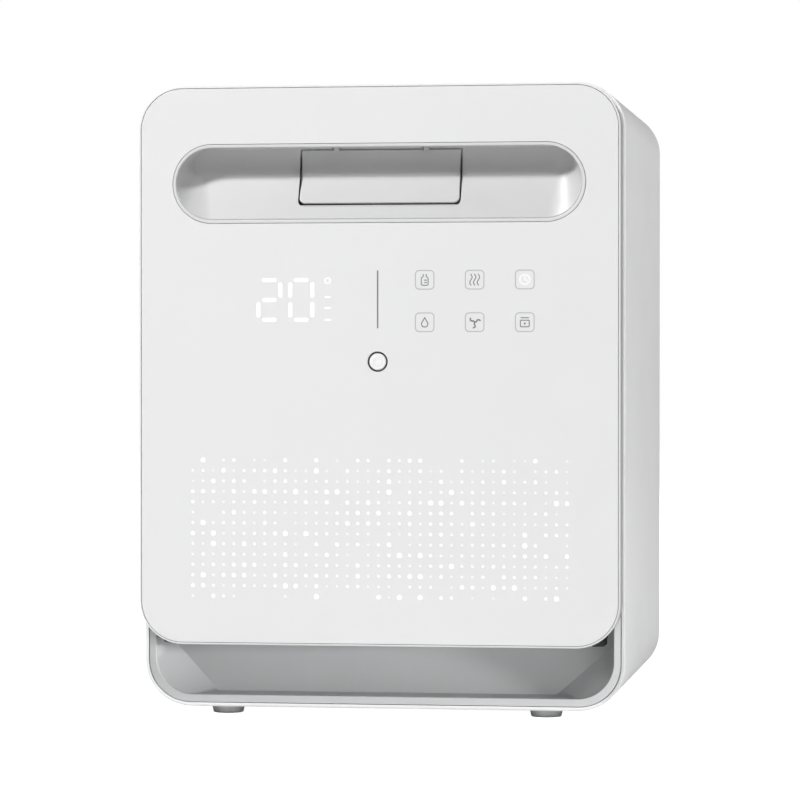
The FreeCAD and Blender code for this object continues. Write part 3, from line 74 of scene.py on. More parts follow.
class Nodes:
    """A small wrapper round a material's node tree."""

    def __init__(self, name):
        self.material = bpy.data.materials.new(name)
        self.material.use_nodes = True
        self.tree = self.material.node_tree
        self.shader = self.tree.nodes["Principled BSDF"]
        self.place = self.tree.nodes.new("ShaderNodeTexCoord").outputs["Object"]

    def add(self, kind, inputs=None):
        """A node, with each input linked to a socket or set to a value."""
        item = self.tree.nodes.new(kind)
        for key, value in (inputs or {}).items():
            if isinstance(value, bpy.types.NodeSocket):
                self.tree.links.new(value, item.inputs[key])
            else:
                item.inputs[key].default_value = value
        return item

    def noise(self, scale, detail=3.0, rough=0.55, vector=None):
        inputs = {"Vector": vector or self.place, "Scale": scale, "Detail": detail, "Roughness": rough}
        return self.add("ShaderNodeTexNoise", inputs).outputs["Fac"]

    def stretched(self, x, y, z):
        inputs = {"Vector": self.place, "Scale": (x, y, z)}
        return self.add("ShaderNodeMapping", inputs).outputs["Vector"]

    def ramp(self, factor, stops):
        item = self.add("ShaderNodeValToRGB", {"Fac": factor})
        elements = item.color_ramp.elements
        while len(elements) < len(stops):
            elements.new(0.5)
        for element, (position, colour) in zip(elements, stops):
            element.position = position
            element.color = (*colour, 1.0)
        return item.outputs["Color"]

    def spread(self, factor, low, high):
        """A noise stretched to run from low to high."""
        inputs = {"Value": factor, "From Min": NOISE_LOW, "From Max": NOISE_HIGH,
                  "To Min": low, "To Max": high}
        return self.add("ShaderNodeMapRange", inputs).outputs["Result"]

    def bump(self, height, strength, depth, normal=None):
        inputs = {"Height": height, "Strength": strength, "Distance": depth * MM}
        if normal:
            inputs["Normal"] = normal
        return self.add("ShaderNodeBump", inputs).outputs["Normal"]

    def link(self, output, name):
        self.tree.links.new(output, self.shader.inputs[name])

    def set(self, **values):
        for key, value in values.items():
            self.shader.inputs[key.replace("_", " ")].default_value = value


def tinted(colour, amount):
    """A colour made lighter or darker, kept between 0 and 1."""
    return tuple(min(1.0, max(0.0, part * amount)) for part in colour)


def plastic(name, colour, rough, grain=900.0, depth=0.012, mottle=0.012, rough_spread=0.05):
    """Moulded plastic: faint mottling, a fine moulded grain and uneven gloss."""
    n = Nodes(name)
    wide = n.noise(24.0, 2.0)
    stops = [(0.32, tinted(colour, 1 - mottle)), (0.68, tinted(colour, 1 + mottle))]
    n.link(n.ramp(wide, stops), "Base Color")
    fine = n.noise(grain, 3.0, 0.6)
    handled = n.noise(70.0, 4.0)
    n.link(n.spread(handled, rough - rough_spread, rough + rough_spread), "Roughness")
    n.link(n.bump(fine, 0.35, depth), "Normal")
    return n.material


def brushed(name, colour, rough, direction=(1, 1, 30), streak=260.0, depth=0.01, metallic=1.0):
    """Rolled or brushed metal with streaks across one direction."""
    n = Nodes(name)
    streaks = n.noise(streak, 4.0, 0.65, n.stretched(*direction))
    cloud = n.noise(30.0, 3.0)
    n.link(n.ramp(streaks, [(0.3, tinted(colour, 0.9)), (0.7, tinted(colour, 1.06))]), "Base Color")
    n.link(n.spread(cloud, rough - 0.06, rough + 0.08), "Roughness")
    n.link(n.bump(streaks, 0.25, depth), "Normal")
    n.set(Metallic=metallic)
    return n.material


def rubber(name, colour, rough):
    """Rubber: a fine matt grain with a little dust."""
    n = Nodes(name)
    fine = n.noise(1400.0, 4.0, 0.65)
    dust = n.noise(180.0, 4.0)
    n.link(n.ramp(dust, [(0.35, tinted(colour, 0.94)), (0.7, tinted(colour, 1.08))]), "Base Color")
    n.link(n.spread(dust, rough - 0.06, rough + 0.1), "Roughness")
    n.link(n.bump(fine, 0.5, 0.03), "Normal")
    return n.material


def glowing(name, colour, strength):
    """A print or light window that glows by its own emission, slightly uneven; where no lamp stands behind
    it, the glow is painted light.
    """
    n = Nodes(name)
    cloud = n.noise(400.0, 2.0)
    n.link(n.ramp(cloud, [(0.3, tinted(colour, 0.97)), (0.7, colour)]), "Base Color")
    n.link(n.spread(cloud, 0.25, 0.35), "Roughness")
    n.link(n.ramp(cloud, [(0.3, tinted(colour, 0.94)), (0.7, colour)]), "Emission Color")
    n.set(Emission_Strength=strength)
    return n.material


def board_material(name, colour, trace):
    """Circuit board laminate with a pattern of tracks under the mask."""
    n = Nodes(name)
    inputs = {"Vector": n.stretched(1, 1, 1), "Scale": 220.0, "Mortar Size": 0.06, "Color1": (*colour, 1),
              "Color2": (*tinted(colour, 1.15), 1), "Mortar": (*trace, 1)}
    grid = n.add("ShaderNodeTexBrick", inputs)
    n.link(grid.outputs["Color"], "Base Color")
    n.link(n.spread(n.noise(300.0), 0.3, 0.5), "Roughness")
    n.link(n.bump(grid.outputs["Fac"], 0.4, 0.03), "Normal")
    return n.material


def glass_material(name):
    """Lamp glass: clear quartz with a faint frosting and uneven tint."""
    n = Nodes(name)
    cloud = n.noise(60.0)
    n.link(n.ramp(cloud, [(0.3, (0.86, 0.9, 0.98)), (0.7, (0.93, 0.96, 1.0))]), "Base Color")
    n.link(n.spread(cloud, 0.05, 0.16), "Roughness")
    n.set(Transmission_Weight=0.75, IOR=1.46)
    return n.material


def filter_material(name):
    """Pleated filter paper: soft fibres over even pleats."""
    n = Nodes(name)
    inputs = {"Vector": n.place, "Scale": 95.0, "Distortion": 0.6, "Detail": 2.0, "Detail Scale": 3.0}
    pleats = n.add("ShaderNodeTexWave", inputs).outputs["Fac"]
    fibre = n.noise(1500.0, 5.0, 0.7)
    n.link(n.ramp(pleats, [(0.1, (0.62, 0.62, 0.6)), (0.6, (0.86, 0.86, 0.84))]), "Base Color")
    n.link(n.spread(fibre, 0.8, 1.0), "Roughness")
    n.link(n.bump(fibre, 0.6, 0.1, n.bump(pleats, 0.8, 0.6)), "Normal")
    return n.material


# One material for each material slot in the record
MATERIALS = {
    "white_shell": plastic("white_shell", (0.86, 0.86, 0.865), 0.42, depth=0.014),
    "white_panel": plastic("white_panel", (0.9, 0.9, 0.903), 0.3, grain=300.0, depth=0.003, mottle=0.004,
                           rough_spread=0.01),
    "white_frame": plastic("white_frame", (0.88, 0.88, 0.885), 0.36, depth=0.01),
    # cup_white is kept well below the other whites: painted shade for the hollow of the handle recess and
    # its flap
    "cup_white": plastic("cup_white", (0.6, 0.6, 0.605), 0.4, depth=0.012),
    "grey_trim": plastic("grey_trim", (0.68, 0.685, 0.69), 0.5, depth=0.02, mottle=0.02),
    "white_plastic": plastic("white_plastic", (0.78, 0.78, 0.785), 0.45, depth=0.02),
    "ceramic_white": plastic("ceramic_white", (0.82, 0.81, 0.78), 0.3, grain=500.0, depth=0.02,
                             mottle=0.03),
    "black_plastic": plastic("black_plastic", (0.028, 0.028, 0.03), 0.45, depth=0.02, mottle=0.08),
    "parts_dark": plastic("parts_dark", (0.05, 0.05, 0.055), 0.5, depth=0.02, mottle=0.1),
    "dark_ring": plastic("dark_ring", (0.03, 0.03, 0.032), 0.35, depth=0.01, mottle=0.05),
    "stainless": brushed("stainless", (0.62, 0.62, 0.61), 0.32, (1, 1, 24)),
    "polished_steel": brushed("polished_steel", (0.72, 0.72, 0.71), 0.16, (1, 1, 1), 120.0, 0.004),
    "zinc_steel": brushed("zinc_steel", (0.52, 0.53, 0.54), 0.36, (1, 1, 1), 420.0),
    "spring_steel": brushed("spring_steel", (0.5, 0.5, 0.5), 0.28, (1, 1, 1), 600.0),
    "heater_fins": brushed("heater_fins", (0.55, 0.55, 0.56), 0.42, (20, 1, 1), 200.0),
    "magnet": brushed("magnet", (0.3, 0.3, 0.31), 0.4, (1, 1, 1), 300.0),
    "black_metal": brushed("black_metal", (0.012, 0.012, 0.013), 0.6, (1, 1, 1), 500.0, 0.02, 0.1),
    "silicone": rubber("silicone", (0.62, 0.62, 0.63), 0.5),
    "foot_rubber": rubber("foot_rubber", (0.4, 0.4, 0.405), 0.6),
    "lamp_glass": glass_material("lamp_glass"),
    "board_green": board_material("board_green", (0.02, 0.16, 0.07), (0.05, 0.28, 0.13)),
    "board_white": board_material("board_white", (0.6, 0.61, 0.6), (0.72, 0.73, 0.72)),
    "filter_media": filter_material("filter_media"),
}

# Materials that only a few pieces take, some holding painted light or shade as noted
# rim_white is a darker copy of the frame's white: painted shade on the handle recess's rim
RIM_WHITE = plastic("rim_white", (0.78, 0.78, 0.785), 0.4, depth=0.014)
# edge_grey is partly the door moulding's own grey and partly painted shade of the gap between door and
# shell
EDGE_GREY = plastic("edge_grey", (0.42, 0.42, 0.425), 0.45, depth=0.014)
# print_white glows; on the display figures that is their own light, on the dot pattern it is painted light
PRINT_WHITE = glowing("print_white", (0.96, 0.96, 0.96), 0.35)
# print_soft and button_white glow faintly on the power button, which has no lamp: painted light
PRINT_SOFT = glowing("print_soft", (0.86, 0.86, 0.86), 0.12)
BUTTON_WHITE = glowing("button_white", (0.93, 0.93, 0.93), 0.1)
PRINT_GREY = plastic("print_grey", (0.25, 0.25, 0.255), 0.4, depth=0.004, mottle=0.04)
PRINT_PALE = plastic("print_pale", (0.55, 0.55, 0.555), 0.35, depth=0.004, mottle=0.02)
DIVIDER_GREY = plastic("divider_grey", (0.2, 0.2, 0.205), 0.4, depth=0.004, mottle=0.04)

# ---------------------------------------------------------------- outlines: loops of (x, z)

TINY = 1e-9
FILLET_SHARE = 0.49  # the most of an edge that one fillet takes
MITRE_LIMIT = 0.35


def rounded(x0, x1, z0, z1, radius, steps=14):
    """Counter-clockwise rounded rectangle; radius is one number or (bottom, top)."""
    low, high = radius if isinstance(radius, tuple) else (radius, radius)
    loop = []
    for cx, cz, r, start in ((x1 - low, z0 + low, low, -90), (x1 - high, z1 - high, high, 0),
                             (x0 + high, z1 - high, high, 90), (x0 + low, z0 + low, low, 180)):
        for k in range(steps + 1):
            turn = math.radians(start + 90 * k / steps)
            loop.append((cx + r * math.cos(turn), cz + r * math.sin(turn)))
    return loop


def circle(cx, cz, radius, steps=48):
    turns = [2 * math.pi * k / steps for k in range(steps)]
    return [(cx + radius * math.cos(turn), cz + radius * math.sin(turn)) for turn in turns]


def stadium(half, low, high, steps=28):
    """Counter-clockwise bar with round ends, 2 * half wide, from low to high."""
    radius, middle = (high - low) / 2, (high + low) / 2
    loop = []
    for side, start in ((1, -90), (-1, 90)):
        for k in range(steps + 1):
            turn = math.radians(start + 180 * k / steps)
            across = side * (half - radius) + radius * math.cos(turn)
            loop.append((across, middle + radius * math.sin(turn)))
    return loop


def capsule(cx, cz, length, width, upright=False):
    """A small stadium round a middle, lying or upright."""
    flat = stadium(length / 2, -width / 2, width / 2, 10)
    return [(cx - b, cz + a) if upright else (cx + a, cz + b) for a, b in flat]


def offset(loop, inward):
    """A counter-clockwise loop moved inwards along its mitred corners."""
    moved = []
    count = len(loop)
    for k in range(count):
        before, here, after = (Vector(loop[(k + step) % count]) for step in (-1, 0, 1))
        first, second = (here - before), (after - here)
        if first.length < TINY or second.length < TINY:
            first = second = (after - before)
        first.normalize()
        second.normalize()
        middle = (first + second).normalized()
        normal = Vector((-middle.y, middle.x))
        scale = max(MITRE_LIMIT, middle.dot(second))
        moved.append(tuple(here + normal * (inward / scale)))
    return moved


def filleted(points, closed=True, steps=4):
    """Points (a, b) or (a, b, radius) with the given corners rounded."""
    result = []
    count = len(points)
    for k, point in enumerate(points):
        radius = point[2] if len(point) > 2 else 0
        here = Vector(point[:2])
        if not radius or (not closed and k in (0, count - 1)):
            result.append(tuple(here))
            continue
        before, after = Vector(points[(k - 1) % count][:2]), Vector(points[(k + 1) % count][:2])
        back, on = (before - here), (after - here)
        half_angle = back.angle(on) / 2
        reach = min(radius / math.tan(half_angle), back.length * FILLET_SHARE, on.length * FILLET_SHARE)
        start, end = here + back.normalized() * reach, here + on.normalized() * reach
        bulge = math.cos(math.pi / 2 - half_angle)
        for j in range(steps + 1):
            t = j / steps
            weights = ((1 - t) ** 2, 2 * t * (1 - t) * bulge, t * t)
            spot = start * weights[0] + here * weights[1] + end * weights[2]
            result.append(tuple(spot / sum(weights)))
    return result


# ---------------------------------------------------------------- solids: (points, faces)

NEAR_AXIS = 0.001
WELD, SLIVER = 1e-4, 1e-5
SHARP_ANGLE = math.radians(38)


def skin(loops, closed=False):
    """Quads between loops of equal length, closed into a ring or capped at both ends."""
    count = len(loops[0])
    points = [tuple(p) for loop in loops for p in loop]
    faces = []
    rows = len(loops)
    for row in range(rows if closed else rows - 1):
        here, there = row * count, ((row + 1) % rows) * count
        for k in range(count):
            following = (k + 1) % count
            faces.append((here + k, here + following, there + following, there + k))
    if not closed:
        faces.append(tuple(reversed(range(count))))
        faces.append(tuple((rows - 1) * count + k for k in range(count)))
    return points, faces


def merge(*shapes):
    """Several solids as one."""
    points, faces = [], []
    for shape_points, shape_faces in shapes:
        start = len(points)
        points.extend(shape_points)
        faces.extend(tuple(start + k for k in face) for face in shape_faces)
    return points, faces


def on_side(side, near, far):
    """The span from near to far on one side of the middle, lowest first."""
    return sorted((side * near, side * far))


def ring(outline, section):
    """A frame: section is a closed list of (inset, depth) swept round outline(inset)."""
    return skin([[(x, y, z) for x, z in outline(inset)] for inset, y in section], closed=True)


def soft_rim(loop, start, end, edge, steps=3):
    """(outline, along) pairs from start to end of a plate with both rims rounded."""
    direction = 1 if end > start else -1
    pairs = []
    for k in range(steps + 1):
        turn = math.pi / 2 * k / steps
        pairs.append((edge * (1 - math.sin(turn)), start + direction * edge * (1 - math.cos(turn))))
    pairs += [(inset, end - (along - start)) for inset, along in reversed(pairs)]
    return [(offset(loop, inset) if inset > TINY else loop, along) for inset, along in pairs]


def slab(loop, front, back, edge=0.2, steps=3):
    """A plate of any outline standing in the XZ plane."""
    rims = soft_rim(loop, front, back, edge, steps)
    return skin([[(x, y, z) for x, z in outline] for outline, y in rims])


def side_slab(loop, left, right, edge):
    """A shape of any (y, z) outline drawn along X."""
    rims = soft_rim(loop, left, right, edge)
    return skin([[(x, y, z) for y, z in outline] for outline, x in rims])


def block(x0, x1, y0, y1, z0, z1, edge):
    """A box with its edges rounded."""
    return slab(rounded(x0, x1, z0, z1, edge, 3), y0, y1, edge)


def lathe(section, centre, axis="z", steps=64, closed=False):
    """section (radius, along) turned round an axis.

    A closed section makes a ring, and an open one starts and ends on the axis.
    """
    loops = []
    for radius, along in section:
        loop = []
        for k in range(steps):
            turn = 2 * math.pi * k / steps
            a, b = max(radius, NEAR_AXIS) * math.cos(turn), max(radius, NEAR_AXIS) * math.sin(turn)
            spot = {"z": (a, b, along), "y": (a, along, b), "x": (along, a, b)}[axis]
            loop.append(tuple(c + s for c, s in zip(centre, spot)))
        loops.append(loop)
    return skin(loops, closed=closed)


def to_object(shape, name="work"):
    """A solid as a Blender object, with its double points and slivers removed."""
    mesh = bpy.data.meshes.new(name)
    mesh.from_pydata(shape[0], [], shape[1])
    work = bmesh.new()
    work.from_mesh(mesh)
    bmesh.ops.remove_doubles(work, verts=work.verts, dist=WELD)
    bmesh.ops.dissolve_degenerate(work, edges=work.edges, dist=SLIVER)
    bmesh.ops.recalc_face_normals(work, faces=work.faces)
    work.to_mesh(mesh)
    work.free()
    made = bpy.data.objects.new(name, mesh)
    bpy.context.scene.collection.objects.link(made)
    return made


def from_object(item):
    """The evaluated mesh of a temporary object, which is then removed."""
    bpy.context.view_layer.update()
    graph = bpy.context.evaluated_depsgraph_get()
    mesh = bpy.data.meshes.new_from_object(item.evaluated_get(graph))
    shape = [tuple(v.co) for v in mesh.vertices], [tuple(f.vertices) for f in mesh.polygons]
    bpy.data.meshes.remove(mesh)
    bpy.data.objects.remove(item)
    return shape


def cut(shape, *tools):
    """A solid less the tools."""
    target = to_object(shape)
    holders = [to_object(tool) for tool in tools]
    for holder in holders:
        change = target.modifiers.new("cut", "BOOLEAN")
        change.operation, change.object, change.solver = "DIFFERENCE", holder, "MANIFOLD"
    result = from_object(target)
    for holder in holders:
        bpy.data.objects.remove(holder)
    return result


def plate(outer, holes, front, back, edge=0.2, detail=2):
    """A flat plate with holes and rounded rims, made from filled curves."""
    curve = bpy.data.curves.new("plate", "CURVE")
    curve.dimensions = "2D"
    curve.fill_mode = "BOTH"
    for loop in [outer] + list(holes):
        spline = curve.splines.new("POLY")
        spline.points.add(len(loop) - 1)
        for point, (a, b) in zip(spline.points, loop):
            point.co = (a, b, 0.0, 1.0)
        spline.use_cyclic_u = True
    curve.extrude = (back - front) / 2 - edge
    curve.bevel_depth = edge
    curve.bevel_resolution = detail
    curve.offset = -edge
    item = bpy.data.objects.new("plate", curve)
    bpy.context.scene.collection.objects.link(item)
    points, faces = from_object(item)
    middle = (front + back) / 2
    return [(a, middle - c, b) for a, b, c in points], faces


def piece(name, shape, slot, body, stands_for=(), material=None):
    """Turns a solid into a finished piece on a body."""
    made = to_object(shape, name)
    mesh = made.data
    for vertex in mesh.vertices:
        vertex.co *= MM
    mesh.materials.append(material or MATERIALS[slot])
    mesh.shade_smooth()
    mesh.set_sharp_from_angle(angle=SHARP_ANGLE)
    weighted = made.modifiers.new("even_normals", "WEIGHTED_NORMAL")
    weighted.keep_sharp = True
    weighted.weight = 100
    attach(made, body)
    if stands_for:
        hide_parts(*stands_for)
    return made


# ---------------------------------------------------------------- cabinet shell

shell_low, shell_high = node_box("outer_shell")
door_low, door_high = node_box("door_frame")
panel_low, panel_high = node_box("front_panel")
FRONT, BACK = door_low[1], shell_high[1]
PROUD = 0.03  # printed marks stand this far in front of the panel
PANEL_FACE = FRONT + PROUD
PANEL_THICK = panel_high[1] - panel_low[1]
SHELL_WALL = 2.2
SHELL_CORNER, DOOR_CORNER, CORNER_STEPS = 27.6, 26.0, 20


def box_outline(low, high, corner, inset=0.0):
    return rounded(low[0] + inset, high[0] - inset, low[2] + inset, high[2] - inset,
                   corner - inset, CORNER_STEPS)


def shell_outline(inset):
    return box_outline(shell_low, shell_high, SHELL_CORNER, inset)


def door_outline(inset):
    return box_outline(door_low, door_high, DOOR_CORNER, inset)


shell_section = filleted([(0, shell_low[1], 1.0), (SHELL_WALL, shell_low[1], 0.3),
                          (SHELL_WALL, BACK, 0.4), (0, BACK, 1.2)])
shell = piece("cabinet_shell", ring(shell_outline, shell_section), "white_shell", "cabinet",
              ["outer_shell"])

# ---------------------------------------------------------------- door

web_front, web_back = FRONT + PANEL_THICK, FRONT + 2 * PANEL_THICK
BUTTON_LEVEL = 210.4
CUP_HALF, CUP_LOW, CUP_HIGH, CUP_RIM, CUP_GAP = 122.5, 292.2, 338.6, 1.8, 0.3

# White lip round the door's front, with a moulding set in a little behind it whose grey is partly its own
# colour and partly painted shade of the gap by the shell
LIP, LIP_DEPTH, LIP_LAP = 1.0, 1.5, 0.3
lip_section = filleted([(0, FRONT, 0.5), (LIP, FRONT, 0.25), (LIP, FRONT + LIP_DEPTH),
                        (0, FRONT + LIP_DEPTH, 0.2)])
piece("door_lip", ring(door_outline, lip_section), "white_frame", "door")

DOOR_WALL, SIDE_INSET = 2.6, 0.3
GROOVE_NEAR, GROOVE_FAR, GROOVE_DEPTH, GROOVE_SLANT = 3.6, 4.4, 0.35, 0.1
lap_y, groove_floor = FRONT + LIP_DEPTH - LIP_LAP, SIDE_INSET + GROOVE_DEPTH
door_section = filleted([
    (SIDE_INSET, lap_y), (LIP, lap_y), (LIP, web_front), (DOOR_WALL, web_front),
    (DOOR_WALL, door_high[1], 0.3), (SIDE_INSET, door_high[1], 0.5),
    (SIDE_INSET, FRONT + GROOVE_FAR, 0.15), (groove_floor, FRONT + GROOVE_FAR - GROOVE_SLANT),
    (groove_floor, FRONT + GROOVE_NEAR + GROOVE_SLANT), (SIDE_INSET, FRONT + GROOVE_NEAR, 0.15)])

# Notches where the door passes the hinge brackets
NOTCH_NEAR, NOTCH_FAR, NOTCH_DEPTH, NOTCH_UNDER = 106.5, 132.1, 12.8, 1.4
notch_top = node_box("hinge_brackets")[1][2] - NOTCH_UNDER
notches = [block(*on_side(side, NOTCH_NEAR, NOTCH_FAR), FRONT + NOTCH_DEPTH, door_high[1] + 2,
                 door_low[2] - 3, notch_top, 0.05) for side in (1, -1)]
door_ring = cut(ring(door_outline, door_section), *notches)

# Web behind the panel, open for the handle recess, the button and the display
WEB_INSET, WEB_EDGE, BUTTON_BORE = 2.0, 0.1, 5.9
DISPLAY_LEFT, DISPLAY_RIGHT, DISPLAY_LOW, DISPLAY_HIGH, DISPLAY_CORNER = -83, -27, 227, 267, 2
display_window = rounded(DISPLAY_LEFT, DISPLAY_RIGHT, DISPLAY_LOW, DISPLAY_HIGH, DISPLAY_CORNER, 4)
web = plate(door_outline(WEB_INSET),
            [stadium(CUP_HALF - CUP_GAP, CUP_LOW + CUP_GAP, CUP_HIGH - CUP_GAP),
             circle(0, BUTTON_LEVEL, BUTTON_BORE), display_window], web_front, web_back, WEB_EDGE, 1)

# Screw bosses down both sides and at the foot, and two lugs for the latch pin
SUNK = 0.4  # bosses and lugs start this far inside the web
BOSS_RADIUS, BOSS_ACROSS, BOSS_LEVELS, FOOT_BOSS_LEVEL = 3.6, 133, (95, 215, 350), 62
LUG_NEAR, LUG_FAR, LUG_BEHIND, LUG_HALF = 10, 13, 3, 4
boss_back = node_box("door_inner_panel")[0][1]
boss_section = filleted([(0, web_back - SUNK), (BOSS_RADIUS, web_back - SUNK),
                         (BOSS_RADIUS, boss_back, 0.3), (0, boss_back)])
boss_places = [(side * BOSS_ACROSS, level) for side in (1, -1) for level in BOSS_LEVELS]
boss_places.append((0, FOOT_BOSS_LEVEL))
bosses = [lathe(boss_section, (x, 0, z), "y", 24) for x, z in boss_places]
pin_y, pin_z = middle_of("latch_pin")
lugs = [block(*on_side(side, LUG_NEAR, LUG_FAR), web_back - SUNK, pin_y + LUG_BEHIND,
              pin_z - LUG_HALF, pin_z + LUG_HALF, 0.2) for side in (1, -1)]
# The moulding takes edge_grey in place of its white slot: partly painted shade of the gap by the shell
piece("door_moulding", merge(door_ring, web, *bosses, *lugs), "white_frame", "door", ["door_frame"],
      material=EDGE_GREY)

panel_corner = DOOR_CORNER - (door_high[0] - panel_high[0])
panel_shape = plate(box_outline(panel_low, panel_high, panel_corner),
                    [stadium(CUP_HALF + CUP_GAP, CUP_LOW - CUP_GAP, CUP_HIGH + CUP_GAP),
                     circle(0, BUTTON_LEVEL, BUTTON_BORE + 0.05)], PANEL_FACE, web_front, 0.22)
piece("door_face", panel_shape, "white_panel", "door", ["front_panel"])

# Handle recess: a slope from the rim up to a crease, then a wall that leans back
CREASE, CREASE_DEPTH, TOP_DEPTH, CUP_WALL = 319.6, 12.6, 15.4, 1.2
WALL_NARROWER, CORNER_REACH = 8.0, 0.15
cup_floor, cup_roof = CUP_LOW + CUP_RIM, CUP_HIGH - CUP_RIM
lean = (TOP_DEPTH - CREASE_DEPTH) / (cup_roof - CREASE)


def cup_wall_depth(z, grow=0.0):
    return FRONT + CREASE_DEPTH + grow + lean * (z - (CREASE - grow))


def cup_loop(grow, y=None):
    """The recess's outline at a depth, or without one the outline of its back wall."""
    if y is not None:
        flat = stadium(CUP_HALF - CUP_RIM + grow, cup_floor - grow, cup_roof + grow)
        return [(x, y, z) for x, z in flat]
    flat = stadium(CUP_HALF - CUP_RIM - WALL_NARROWER + grow, CREASE - grow, cup_roof + grow)
    return [(x, cup_wall_depth(z, grow), z) for x, z in flat]


def bent(mouth, floor, inward, reach, steps=3):
    """Loops that round the corner where the side from mouth to floor meets the floor."""
    loops = []
    for j in range(steps + 1):
        t = j / steps
        loop = []
        for m, f, q in zip(mouth, floor, inward):
            m, f, q = Vector(m), Vector(f), Vector(q)
            start = f + (m - f).normalized() * reach
            end = f + (q - f).normalized() * reach
            loop.append(tuple(start * (1 - t) ** 2 + f * (2 * t * (1 - t)) + end * t * t))
        loops.append(loop)
    return loops


MOUTH_STEP, TUCK, TUCK_DEPTH = 0.9, 0.55, 0.8
mouth, cup_back = cup_loop(0, FRONT), cup_loop(0)
cup_middle = [(x, cup_wall_depth(z), z) for x, z in offset([(p[0], p[2]) for p in cup_back], 2.0)]
inside_mouth = [tuple(Vector(m) + (Vector(f) - Vector(m)).normalized() * MOUTH_STEP)
                for m, f in zip(mouth, cup_back)]
cup_corner = list(reversed(bent(mouth, cup_back, cup_middle, CORNER_REACH)))
cup = skin([cup_middle] + cup_corner + [inside_mouth]
           + [cup_loop(TUCK, FRONT + TUCK_DEPTH), cup_loop(TUCK, web_front), cup_loop(CUP_WALL)])
rim_section = filleted([(0, FRONT + 1.0), (0, FRONT, 0.5), (CUP_RIM, FRONT, 0.25), (CUP_RIM, web_front),
                        (0.5, web_front)])
rim = skin([cup_loop(grow, y) for grow, y in rim_section], closed=True)
# The rim takes rim_white, darker than the frame's white: painted shade
piece("recess_rim", rim, "white_frame", "door", material=RIM_WHITE)

# The recess is cut open for the flap and its two hinge arms
FLAP_HALF, FLAP_LOW, FLAP_TOP, FLAP_GAP = 47.6, 304.0, 335.6, 0.9
SILL, ARM_INNER, ARM_OUTER, ARM_GAP = 301.5, 25.2, 28.4, 0.9
OPENING_FRONT, OPENING_BACK, OPENING_ROOM, CUTTER_EDGE = 2.6, 19, 0.8, 0.02
SLOT_FRONT, SLOT_BACK, SLOT_LOW, SLOT_HIGH, SLOT_CORNER = 7.1, 21, 333.0, 345.0, 0.2
opening = rounded(-FLAP_HALF - FLAP_GAP, FLAP_HALF + FLAP_GAP, SILL, FLAP_TOP + OPENING_ROOM, (4.4, 0.6), 8)
slots = [rounded(*on_side(side, ARM_INNER - ARM_GAP, ARM_OUTER + ARM_GAP), SLOT_LOW, SLOT_HIGH,
                 SLOT_CORNER, 2) for side in (1, -1)]
cup = cut(cup, slab(opening, FRONT + OPENING_FRONT, FRONT + OPENING_BACK, CUTTER_EDGE, 1),
          *[slab(slot, FRONT + SLOT_FRONT, FRONT + SLOT_BACK, CUTTER_EDGE, 1) for slot in slots])

# A lip behind the sill closes the view under the flap, and two lugs carry the flap's pin
STOP_HALF = FLAP_HALF + 0.6
stop_profile = [(FRONT + 3.6, SILL - 2.2), (FRONT + 4.9, SILL - 0.6), (FRONT + 5.2, SILL + 1.2),
                (FRONT + 6.6, SILL + 1.2), (FRONT + 5.6, SILL - 2.2)]
sill_stop = side_slab(stop_profile, -STOP_HALF, STOP_HALF, 0.1)
PIVOT_NEAR, PIVOT_FAR, PIVOT_DEPTH, PIVOT_BELOW, PIVOT_ABOVE = 34.6, 37.6, 3, 3.2, 3.6
axis_y, axis_z = middle_of("flap_pin")
cup_lugs = [block(*on_side(side, PIVOT_NEAR, PIVOT_FAR), axis_y - PIVOT_DEPTH, axis_y + PIVOT_DEPTH,
                  axis_z - PIVOT_BELOW, axis_z + PIVOT_ABOVE, 0.2) for side in (1, -1)]
# Recess and flap take cup_white, darker than the panel: painted shade of the hollow
piece("handle_recess", merge(cup, sill_stop, *cup_lugs), "cup_white", "door", ["handle_cup"])

# Release flap: a leaf along the recess's slope and wall, on two arms, a barrel and a tail
FLAP_PROUD, FLAP_THICK, FLAP_BACK, FLAP_CORNER = 0.35, 2.2, 1.6, 3.4
crease_y = FRONT + CREASE_DEPTH - FLAP_PROUD
foot_y = FRONT + CREASE_DEPTH * (FLAP_LOW - cup_floor) / (CREASE - cup_floor) - FLAP_PROUD
top_y = FRONT + TOP_DEPTH - FLAP_PROUD


def flap_section(rise, shrink):
    slope = Vector((crease_y - foot_y, CREASE - FLAP_LOW)).normalized() * rise
    loop = filleted([(foot_y + slope.x, FLAP_LOW + slope.y, 0.3),
                     (foot_y + FLAP_THICK + slope.x, FLAP_LOW - 0.6 + slope.y, 0.4),
                     (crease_y + FLAP_THICK, CREASE - 0.8), (top_y + FLAP_BACK, FLAP_TOP, 0.3),
                     (top_y, FLAP_TOP, 0.35), (crease_y, CREASE, 0.2)])
    return offset(loop, shrink) if shrink else loop


# Distance in from the leaf's end, and how much its section shrinks there to round the edge
LEAF_STEPS = ((0, 0.35), (0.06, 0.2), (0.18, 0.09), (0.35, 0), (0.8, 0), (1.3, 0), (1.9, 0), (2.6, 0),
              (3.4, 0))
stations = []
for d, shrink in LEAF_STEPS:
    rise = FLAP_CORNER - math.sqrt(max(0.0, FLAP_CORNER ** 2 - (FLAP_CORNER - d) ** 2))
    stations.append((FLAP_HALF - d, rise, shrink))
rows = [(-x, rise, shrink) for x, rise, shrink in stations]
rows += [(x, rise, shrink) for x, rise, shrink in reversed(stations)]
leaf = skin([[(x, y, z) for y, z in flap_section(rise, shrink)] for x, rise, shrink in rows])
arm_profile = filleted([(top_y, FLAP_TOP - 1), (top_y + FLAP_BACK, FLAP_TOP - 1),
                        (top_y + FLAP_BACK, axis_z), (axis_y, axis_z + 1), (axis_y, axis_z - 1),
                        (top_y - 0.6, axis_z - 1.4, 0.3)])
